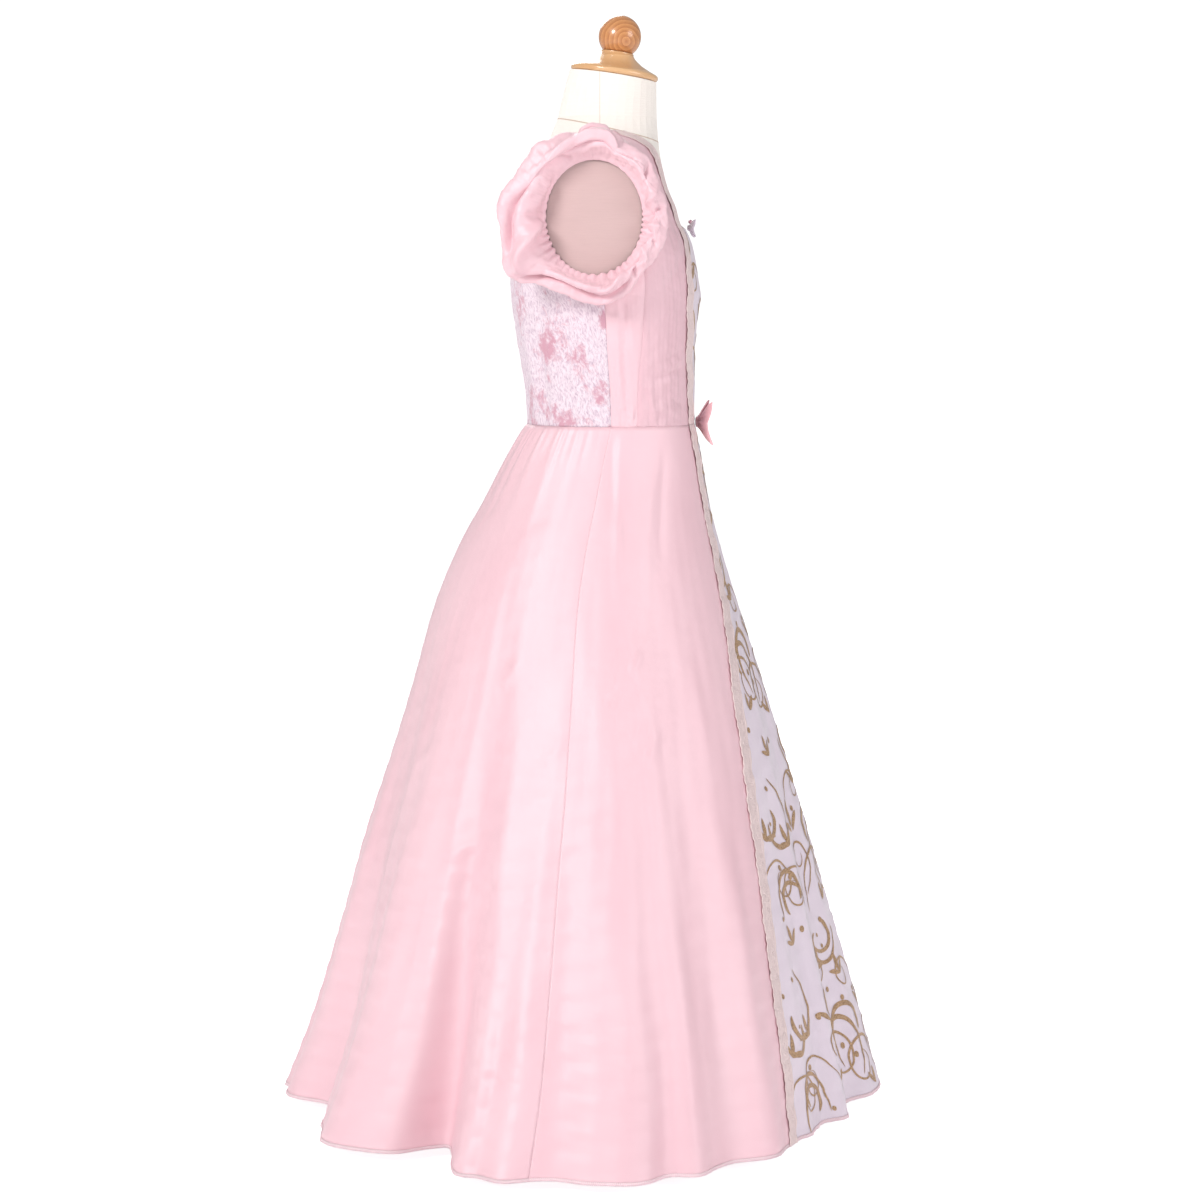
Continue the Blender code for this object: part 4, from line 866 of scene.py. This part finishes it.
stem = add(tree, "MapRange", {0: work(tree, "ABSOLUTE", work(tree, "SUBTRACT", across, sway)),
                              1: 0.0006, 2: 0.0022, 3: 1.0, 4: 0.0}).outputs[0]
edge = add(tree, "MapRange", {0: work(tree, "ABSOLUTE", across),
                              1: 0.0060, 2: 0.0078, 3: 0.0, 4: 0.9}).outputs[0]
solid = work(tree, "MAXIMUM", work(tree, "MAXIMUM", work(tree, "MULTIPLY", stem, 0.85), edge), thread)
glint = stretched(tree, "TexNoise", flat, (1800, 1800, 1), {"Detail": 1.0})
gold_tint = blend(tree, glint.outputs[0], (0.70, 0.50, 0.48, 1), (0.98, 0.86, 0.85, 1))
tree.links.new(blend(tree, solid, (0.92, 0.74, 0.75, 1), gold_tint), shader.inputs["Base Color"])
tree.links.new(work(tree, "MULTIPLY", solid, 0.2), shader.inputs["Metallic"])
tree.links.new(work(tree, "MULTIPLY_ADD", glint.outputs[0], 0.3, 0.32), shader.inputs["Roughness"])
raised(tree, shader, solid, 0.9, 0.0006)


def band(u, along):
    """Where a band's points lie across it, with its scallops, and how high its corded edges stand."""
    phase = along / SCALLOP
    scallop = 0.0016 * np.abs(np.sin(np.pi * phase)) - 0.0008
    wander = 0.0006 * np.sin(along * 61 + 0.5) + 0.0004 * np.sin(along * 143 + 1.1)
    offset = LACE * (u - 0.5) + np.where(u > 0.5, 1, 0.25) * scallop * (2 * u - 1) + wander
    cord = 0.0007 * np.exp(-(((u - 0.07) / 0.05) ** 2)) + 0.0005 * np.exp(-(((u - 0.94) / 0.05) ** 2))
    flutter = 0.0005 * (2 * u - 1) ** 2 * (1 + np.sin(along * 190 + 2 * np.sin(along * 37)))
    return offset, cord + flutter


def bodice_lace_place(side):
    def place(u, v, out):
        z = WAIST + 0.0004 + (0.9605 - WAIST) * v
        inner, lace = front_inner_edge(z)
        offset, raised = band(u, z)
        shift = np.clip((z - NECK_RISE) / (NECKLINE - NECK_RISE), 0, 1)
        room = np.clip(lace / turn_for(body, inner, z, LACE / 2), 0.35, 1)
        angle = inner + turn_for(body, inner, z, 1.0) * (offset * room + shift * 0.0088 * room)
        return lifted(body, side * angle, z, CLOTH + LACE_LIFT + LACE_WALL + raised + out)

    return place


def skirt_lace_place(side):
    def place(u, v, out):
        z = HEM + (WAIST - SEAM / 2 - HEM) * v
        seam = seam_angle(SKIRT_SEAMS, "lace", z)
        offset, raised = band(u, z)
        angle = side * (seam + turn_for(skirt, seam, z, 1.0) * offset)
        turn = np.degrees(angle)
        worn = rippled(turn, z, 0.0005, 0.016) * ease((WAIST - z) / 0.02)
        return lifted(skirt, angle, z, worn + LACE_LIFT + LACE_WALL + raised + out)

    return place


for side, mark in ((1, "R"), (-1, "L")):
    trim = cut(f"neck_and_front_lace_{mark}", bodice_lace_place(side), 10, 420, lace_finish,
               [f"bodice_lace_{mark}"], LACE_WALL)
    trim = cut(f"skirt_front_lace_{mark}", skirt_lace_place(side), 10, 760, lace_finish,
               [f"skirt_lace_{mark}"], LACE_WALL)

# The gold glitter print on the white satin: scrolls with a comma head, thin curling tendrils, sprays of
# leaves and loose dots, printed on the cloth before it was cut, so that the seams cut it off.
Stroke = namedtuple("Stroke", "x y heading length bend_from bend_to width head")
MOTIF = [Stroke(*row) for row in [
    (0.004, -0.084, 98, 0.2, 3, 74, 0.003, 0.45), (0.006, -0.062, 62, 0.16, -4, -92, 0.0024, 0.45),
    (-0.002, -0.066, 140, 0.13, -6, -112, 0.0024, 0.45),
    (-0.006, 0.03, 112, 0.118, 6, 128, 0.0022, 0.45), (0.046, 0.064, 228, 0.128, 8, 62, 0.006, 0.9),
    (-0.052, -0.062, 62, 0.126, 10, 60, 0.0062, 0.9), (0.036, -0.086, 96, 0.104, -12, -72, 0.0054, 0.9),
    (-0.034, 0.094, 262, 0.1, -14, -76, 0.0052, 0.9), (-0.006, 0.004, 78, 0.03, 10, 26, 0.0078, 0.5),
    (-0.008, 0.000, 118, 0.025, 10, 34, 0.0066, 0.5), (-0.004, 0.000, 40, 0.023, -10, -36, 0.0064, 0.5),
    (0.04, -0.006, 64, 0.024, 20, 20, 0.0064, 0.5), (0.04, -0.006, 112, 0.02, 20, 20, 0.0056, 0.5),
    (0.04, -0.006, 16, 0.019, -20, -20, 0.0054, 0.5), (-0.044, 0.044, 110, 0.024, -20, -20, 0.0062, 0.5),
    (-0.044, 0.044, 62, 0.02, -20, -20, 0.0054, 0.5), (-0.044, 0.044, 158, 0.019, 20, 20, 0.0052, 0.5),
    (0.022, 0.084, 70, 0.022, 10, 10, 0.006, 0.5), (0.022, 0.084, 118, 0.018, 10, 10, 0.0052, 0.5),
    (0.022, 0.084, 24, 0.017, -10, -10, 0.005, 0.5), (-0.03, -0.076, 140, 0.02, -10, -10, 0.0056, 0.5),
    (-0.03, -0.076, 92, 0.018, -10, -10, 0.005, 0.5),
]]
DOTS = [
    (0.016, 0.008, 0.0034), (-0.018, 0.022, 0.0030), (0.056, -0.036, 0.0032), (-0.056, -0.040, 0.0034),
    (0.052, 0.054, 0.0028), (-0.054, 0.020, 0.0030), (0.000, 0.096, 0.0034), (0.032, -0.084, 0.0026),
    (-0.012, -0.094, 0.0030), (0.062, 0.008, 0.0022), (-0.062, 0.076, 0.0022),
]
REPEAT_X, REPEAT_Y, LIFT = 0.128, 0.196, 0.00035

glitter, tree, shader = finish("gold glitter print")
place = add(tree, "TexCoord").outputs["Object"]
flakes = add(tree, "TexVoronoi", {"Vector": place, "Scale": 1500.0})
tone = add(tree, "SeparateColor", {0: flakes.outputs["Color"]}).outputs[0]
tree.links.new(blend(tree, tone, (0.28, 0.16, 0.08, 1), (0.66, 0.44, 0.27, 1)), shader.inputs["Base Color"])
shader.inputs["Metallic"].default_value = 0.3
tree.links.new(work(tree, "MULTIPLY_ADD", tone, 0.35, 0.25), shader.inputs["Roughness"])
raised(tree, shader, tone, 0.9, 0.0003)


def on_cloth(piece, x, y, lift):
    """The places on a cut piece of flat points x, y, and whether they lie inside it."""
    row = np.interp(y, piece.along, np.arange(len(piece.along)))
    low = np.clip(row.astype(int), 0, len(piece.along) - 2)
    share = (row - low)[:, None]
    column = np.empty_like(x)
    for i, (r, s) in enumerate(zip(low, share[:, 0])):
        widths = piece.across[r] * (1 - s) + piece.across[r + 1] * s
        column[i] = np.interp(x[i], widths, np.arange(len(widths)), left=-1, right=len(widths))
    inside = (column >= 0) & (column < len(piece.across[0]) - 1) & (y > 0) & (y < piece.along[-1])
    left = np.clip(column.astype(int), 0, len(piece.across[0]) - 2)
    part = np.clip(column - left, 0, 1)[:, None]
    p, q, r, s = (piece.points[low, left], piece.points[low, left + 1],
                  piece.points[low + 1, left], piece.points[low + 1, left + 1])
    spot = (p * (1 - part) + q * part) * (1 - share) + (r * (1 - part) + s * part) * share
    normal = np.cross(r - p, q - p)
    normal = normal / np.maximum(np.linalg.norm(normal, axis=1), 1e-12)[:, None]
    return spot + normal * lift, inside


def outlines():
    """The motif as strips, each with the points of its one edge and of its other."""
    strips = []
    for stroke in MOTIF:
        steps = max(8, int(stroke.length / 0.0032))
        s = np.linspace(0, 1, steps + 1)
        bend = stroke.bend_from * s + (stroke.bend_to - stroke.bend_from) * s**2 / 2
        heading = math.radians(stroke.heading) + bend * stroke.length
        step = stroke.length / steps
        x = stroke.x + np.concatenate([[0], np.cumsum(np.cos(heading[:-1]) * step)])
        y = stroke.y + np.concatenate([[0], np.cumsum(np.sin(heading[:-1]) * step)])
        full = np.where(s < stroke.head, s / stroke.head, (1 - s) / (1 - stroke.head))
        half = stroke.width / 2 * np.sqrt(np.clip(full, 0.0, 1)) + 0.00012
        nx, ny = -np.sin(heading) * half, np.cos(heading) * half
        strips.append(np.array([(x + nx, y + ny), (x - nx, y - ny)]))
    for x, y, radius in DOTS:
        turn = np.linspace(0, np.pi, 6)
        wide, tall = radius * np.cos(turn), radius * np.sin(turn)
        strips.append(np.array([(x + wide, y + tall), (x + wide, y - tall)]))
    return strips


def printed(name, piece, reach_x, reach_y, start_y):
    """The motif, repeated and turned over in rows, as thin flakes of print on a cut piece."""
    bm = bmesh.new()
    columns = int(reach_x / REPEAT_X) + 1
    for row in range(int(reach_y / REPEAT_Y) + 2):
        for column in range(-columns, columns + 1):
            mirror = 1 if (row + column) % 2 else -1
            x0 = (column + (0.5 if row % 2 else 0)) * REPEAT_X
            y0 = start_y + row * REPEAT_Y + 0.012 * (column % 2)
            for strip in outlines():
                x, y = mirror * strip[:, 0] + x0, strip[:, 1] + y0
                spots, inside = zip(*(on_cloth(piece, x[k], y[k], LIFT) for k in (0, 1)))
                if not (inside[0] & inside[1]).any():
                    continue
                steps = x.shape[1] - 1
                grid = bmesh.ops.create_grid(bm, x_segments=steps, y_segments=1, size=0.5)["verts"]
                off = []
                for vert in grid:
                    i, k = round((vert.co.x + 0.5) * steps), int(vert.co.y < 0)
                    vert.co = spots[k][i]
                    if not inside[k][i]:
                        off.append(vert)
                bmesh.ops.delete(bm, geom=off, context="VERTS")
    bmesh.ops.remove_doubles(bm, verts=bm.verts[:], dist=1e-6)
    loose = [v for v in bm.verts if not v.link_faces]
    bmesh.ops.delete(bm, geom=loose, context="VERTS")
    bm.normal_update()
    inward = [f for f in bm.faces if f.normal.xy.dot(f.calc_center_median().xy) < 0]
    bmesh.ops.reverse_faces(bm, faces=inward)
    return placed(bm, name, glitter, smooth=False)


skirt_print = printed("glitter_print_skirt", skirt_front, 0.26, 0.70, 0.085)
bodice_print = printed("glitter_print_bodice", centre, 0.060, 0.20, 0.100)

# The bows: a large coral one on the waist seam and a small white one on the neckline, each of folded
# ribbon with its loops drawn into a knot. A dusky pink bead is sewn on above the small one.
Bow = namedtuple("Bow", "name z front reach tall knot depth sweep")
BOWS = [
    Bow("waist_bow", 0.6815, -0.0847, 0.033, (0.006, 0.0212), (0.009, 0.005, 0.011), (0.0012, 0.0026),
        0.0125),
    Bow("neck_bow", 0.8725, -0.0761, 0.016, (0.003, 0.0085), (0.005, 0.0042, 0.006), (0.001, 0.002), 0.005),
]
coral_satin = satin("coral satin", (0.94, 0.62, 0.65, 1), (0.88, 0.47, 0.52, 1), (1.0, 0.8, 0.8, 1), 0.3)


def loop_place(bow, side):
    near, far = bow.knot[0] / 2 - 0.0004, bow.reach - 0.0006

    def place(u, v, out):
        turn = u * 2 * np.pi
        open_share = (1 - np.cos(turn)) / 2
        x = near + (far - near) * open_share
        deep = bow.depth[0] + (bow.depth[1] - bow.depth[0]) * open_share
        half = bow.tall[0] + (bow.tall[1] - bow.tall[0]) * open_share**1.35
        height = half * (2 * v - 1)
        pleat = np.cos(3.5 * np.pi * (2 * v - 1)) * 0.0009 * (1 - open_share) * bow.reach / 0.033
        sag = 0.0010 * np.sin(2.2 * np.pi * v + 0.5 * side) * open_share * bow.reach / 0.033
        waist_in = 1 - 0.24 * open_share * np.cos(np.pi * (v - 0.5))
        y = (deep + out) * np.sin(turn) + pleat * np.sign(np.sin(turn)) + sag
        y = np.clip(y, -0.0056, bow.depth[1] - 0.0002)
        return np.stack([side * (near + (x - near) * waist_in - out * np.cos(turn)),
                         bow.front - bow.depth[1] - 0.0005 + y
                         - bow.sweep * open_share * (0.62 + 0.38 * np.abs(2 * v - 1)),
                         bow.z + height - 0.0006 * open_share],
                        axis=-1)

    return place


for bow, ribbon, slot in ((BOWS[0], coral_satin, "coral_satin"), (BOWS[1], white_satin, "white_satin")):
    for side, mark in ((1, "L"), (-1, "R")):
        loop = cut(f"{bow.name}_ribbon_{mark}", loop_place(bow, side), 64, 28, ribbon,
                   [f"{bow.name}_loop_{mark}"], 0.0005, rolled=True)
    knot = bmesh.new()
    bmesh.ops.create_uvsphere(knot, u_segments=28, v_segments=18, radius=1)
    for v in knot.verts:
        squared = Vector([math.copysign(abs(c) ** 0.62, c) for c in v.co])
        ridge = 1 + 0.07 * math.cos(9 * squared.x) * (1 - abs(squared.z))
        v.co = (squared.x * bow.knot[0] / 2 * (1 - 0.12 * (1 - squared.z**2)),
                squared.y * bow.knot[1] / 2 * ridge, squared.z * bow.knot[2] / 2)
    bmesh.ops.translate(knot, vec=(0, bow.front - bow.knot[1] / 2, bow.z), verts=knot.verts[:])
    layer = knot.loops.layers.uv.new("cloth")
    for face in knot.faces:
        for loop in face.loops:
            loop[layer].uv = (loop.vert.co.x, loop.vert.co.z)
    placed(knot, f"{bow.name}_tied_knot", ribbon, [f"{bow.name}_knot"])

bead = bmesh.new()
bmesh.ops.create_uvsphere(bead, u_segments=24, v_segments=16, radius=0.0021)
bmesh.ops.translate(bead, vec=(0, BOWS[1].front - 0.0030, 0.8785), verts=bead.verts[:])
pearl, tree, shader = finish("dusky pink bead")
place = add(tree, "TexCoord").outputs["Object"]
cloud = add(tree, "TexNoise", {"Vector": place, "Scale": 500.0, "Detail": 2.0})
tree.links.new(blend(tree, cloud.outputs[0], (0.55, 0.26, 0.34, 1), (0.74, 0.42, 0.50, 1)),
               shader.inputs["Base Color"])
shader.inputs["Roughness"].default_value = 0.22
shader.inputs["Coat Weight"].default_value = 0.7
placed(bead, "neck_bead", pearl)

# The hem is overlocked: a narrow row of thread loops over the raw edge of each gore.
thread, tree, shader = finish("overlock thread")
flat = add(tree, "UVMap", uv_map="cloth").outputs[0]
split = add(tree, "SeparateXYZ", {0: flat})
lean = work(tree, "MULTIPLY_ADD", split.outputs[1], 0.45, split.outputs[0])
loops = work(tree, "SINE", work(tree, "MULTIPLY", lean, math.tau / 0.0019))
rib = add(tree, "MapRange", {0: loops, 1: -0.6, 2: 0.5, 3: 0.0, 4: 1.0}).outputs[0]
tree.links.new(blend(tree, rib, (0.84, 0.56, 0.62, 1), (0.96, 0.80, 0.84, 1)), shader.inputs["Base Color"])
raised(tree, shader, rib, 0.8, 0.0005)
shader.inputs["Roughness"].default_value = 0.6
HEM_TALL, HEM_LIFT = 0.0034, 0.0005


def hem_place(gore_surface):
    def place(u, v, out):
        ripple = 0.0004 * np.sin(u * 260) * (1 - v)
        return gore_surface(u, v * HEM_TALL / (WAIST - HEM), HEM_LIFT + ripple + out)

    return place


for mark, surface, columns in (
        ("front", gore_place(lace_left, lace_right, 1, 1), 260),
        ("gore_R", gore_place(lace_right, side_right, 1, 0), 240),
        ("gore_L", gore_place(side_left, lace_left, 0, 1), 240),
        ("back", gore_place(side_right, back_left, 0, 0), 600)):
    cut(f"hem_{mark}", hem_place(surface), columns, 2, thread, [], 0.0004).thing

# The studio: a pale floor that runs on out of sight, soft light from all sides and a large soft lamp
# high beside the camera, which stands level with the waist at the wearer's right.
bpy.ops.mesh.primitive_plane_add(size=60, location=(0, 0, -0.0005))
floor = bpy.context.object
floor.name = "studio_floor"
paper, tree, shader = finish("studio paper")
place = add(tree, "TexCoord").outputs["Object"]
grain = add(tree, "TexNoise", {"Vector": place, "Scale": 400.0, "Detail": 2.0})
tree.links.new(blend(tree, grain.outputs[0], (0.95, 0.95, 0.955, 1), (0.97, 0.97, 0.975, 1)),
               shader.inputs["Base Color"])
shader.inputs["Roughness"].default_value = 0.9
shader.inputs["Emission Color"].default_value = (1, 0.985, 0.99, 1)
lit = add(tree, "LightPath").outputs["Is Camera Ray"]
tree.links.new(work(tree, "MULTIPLY_ADD", lit, 0.6, 0.25), shader.inputs["Emission Strength"])
floor.data.materials.append(paper)

world = bpy.data.worlds.new("studio")
bpy.context.scene.world = world
world.use_nodes = True
sky = world.node_tree.nodes["Background"]
seen = add(world.node_tree, "LightPath").outputs["Is Camera Ray"]
world.node_tree.links.new(work(world.node_tree, "MULTIPLY_ADD", seen, 0.72, 0.38), sky.inputs["Strength"])
sky.inputs["Color"].default_value = (1, 1, 1, 1)

Lamp = namedtuple("Lamp", "name place size power colour")
for lamp in [
    Lamp("key", (-2.4, 1.9, 2.3), 1.1, 76, (1.0, 0.99, 0.98)),
    Lamp("fill", (-1.6, -2.6, 1.6), 1.6, 34, (1.0, 0.98, 1.0)),
    Lamp("back", (2.6, 0.6, 2.4), 1.6, 30, (1.0, 1.0, 1.0)),
]:
    light = bpy.data.lights.new(lamp.name, "AREA")
    light.shape, light.size, light.energy, light.color = "DISK", lamp.size, lamp.power, lamp.colour
    holder = bpy.data.objects.new(lamp.name, light)
    holder.location = lamp.place
    aim = Vector((0, 0, 0.6)) - Vector(lamp.place)
    holder.rotation_euler = aim.to_track_quat("-Z", "Y").to_euler()
    bpy.context.scene.collection.objects.link(holder)

camera = bpy.data.cameras.new("camera")
camera.lens, camera.sensor_width = 2915.5 * 36 / 1200, 36.0
eye = bpy.data.objects.new("camera", camera)
eye.location = (-2.9, 0.010, 0.803)
eye.rotation_euler = (math.radians(90 - 5.9), 0, math.radians(-90))
bpy.context.scene.collection.objects.link(eye)
bpy.context.scene.camera = eye
bpy.context.scene.view_settings.view_transform = "Standard"
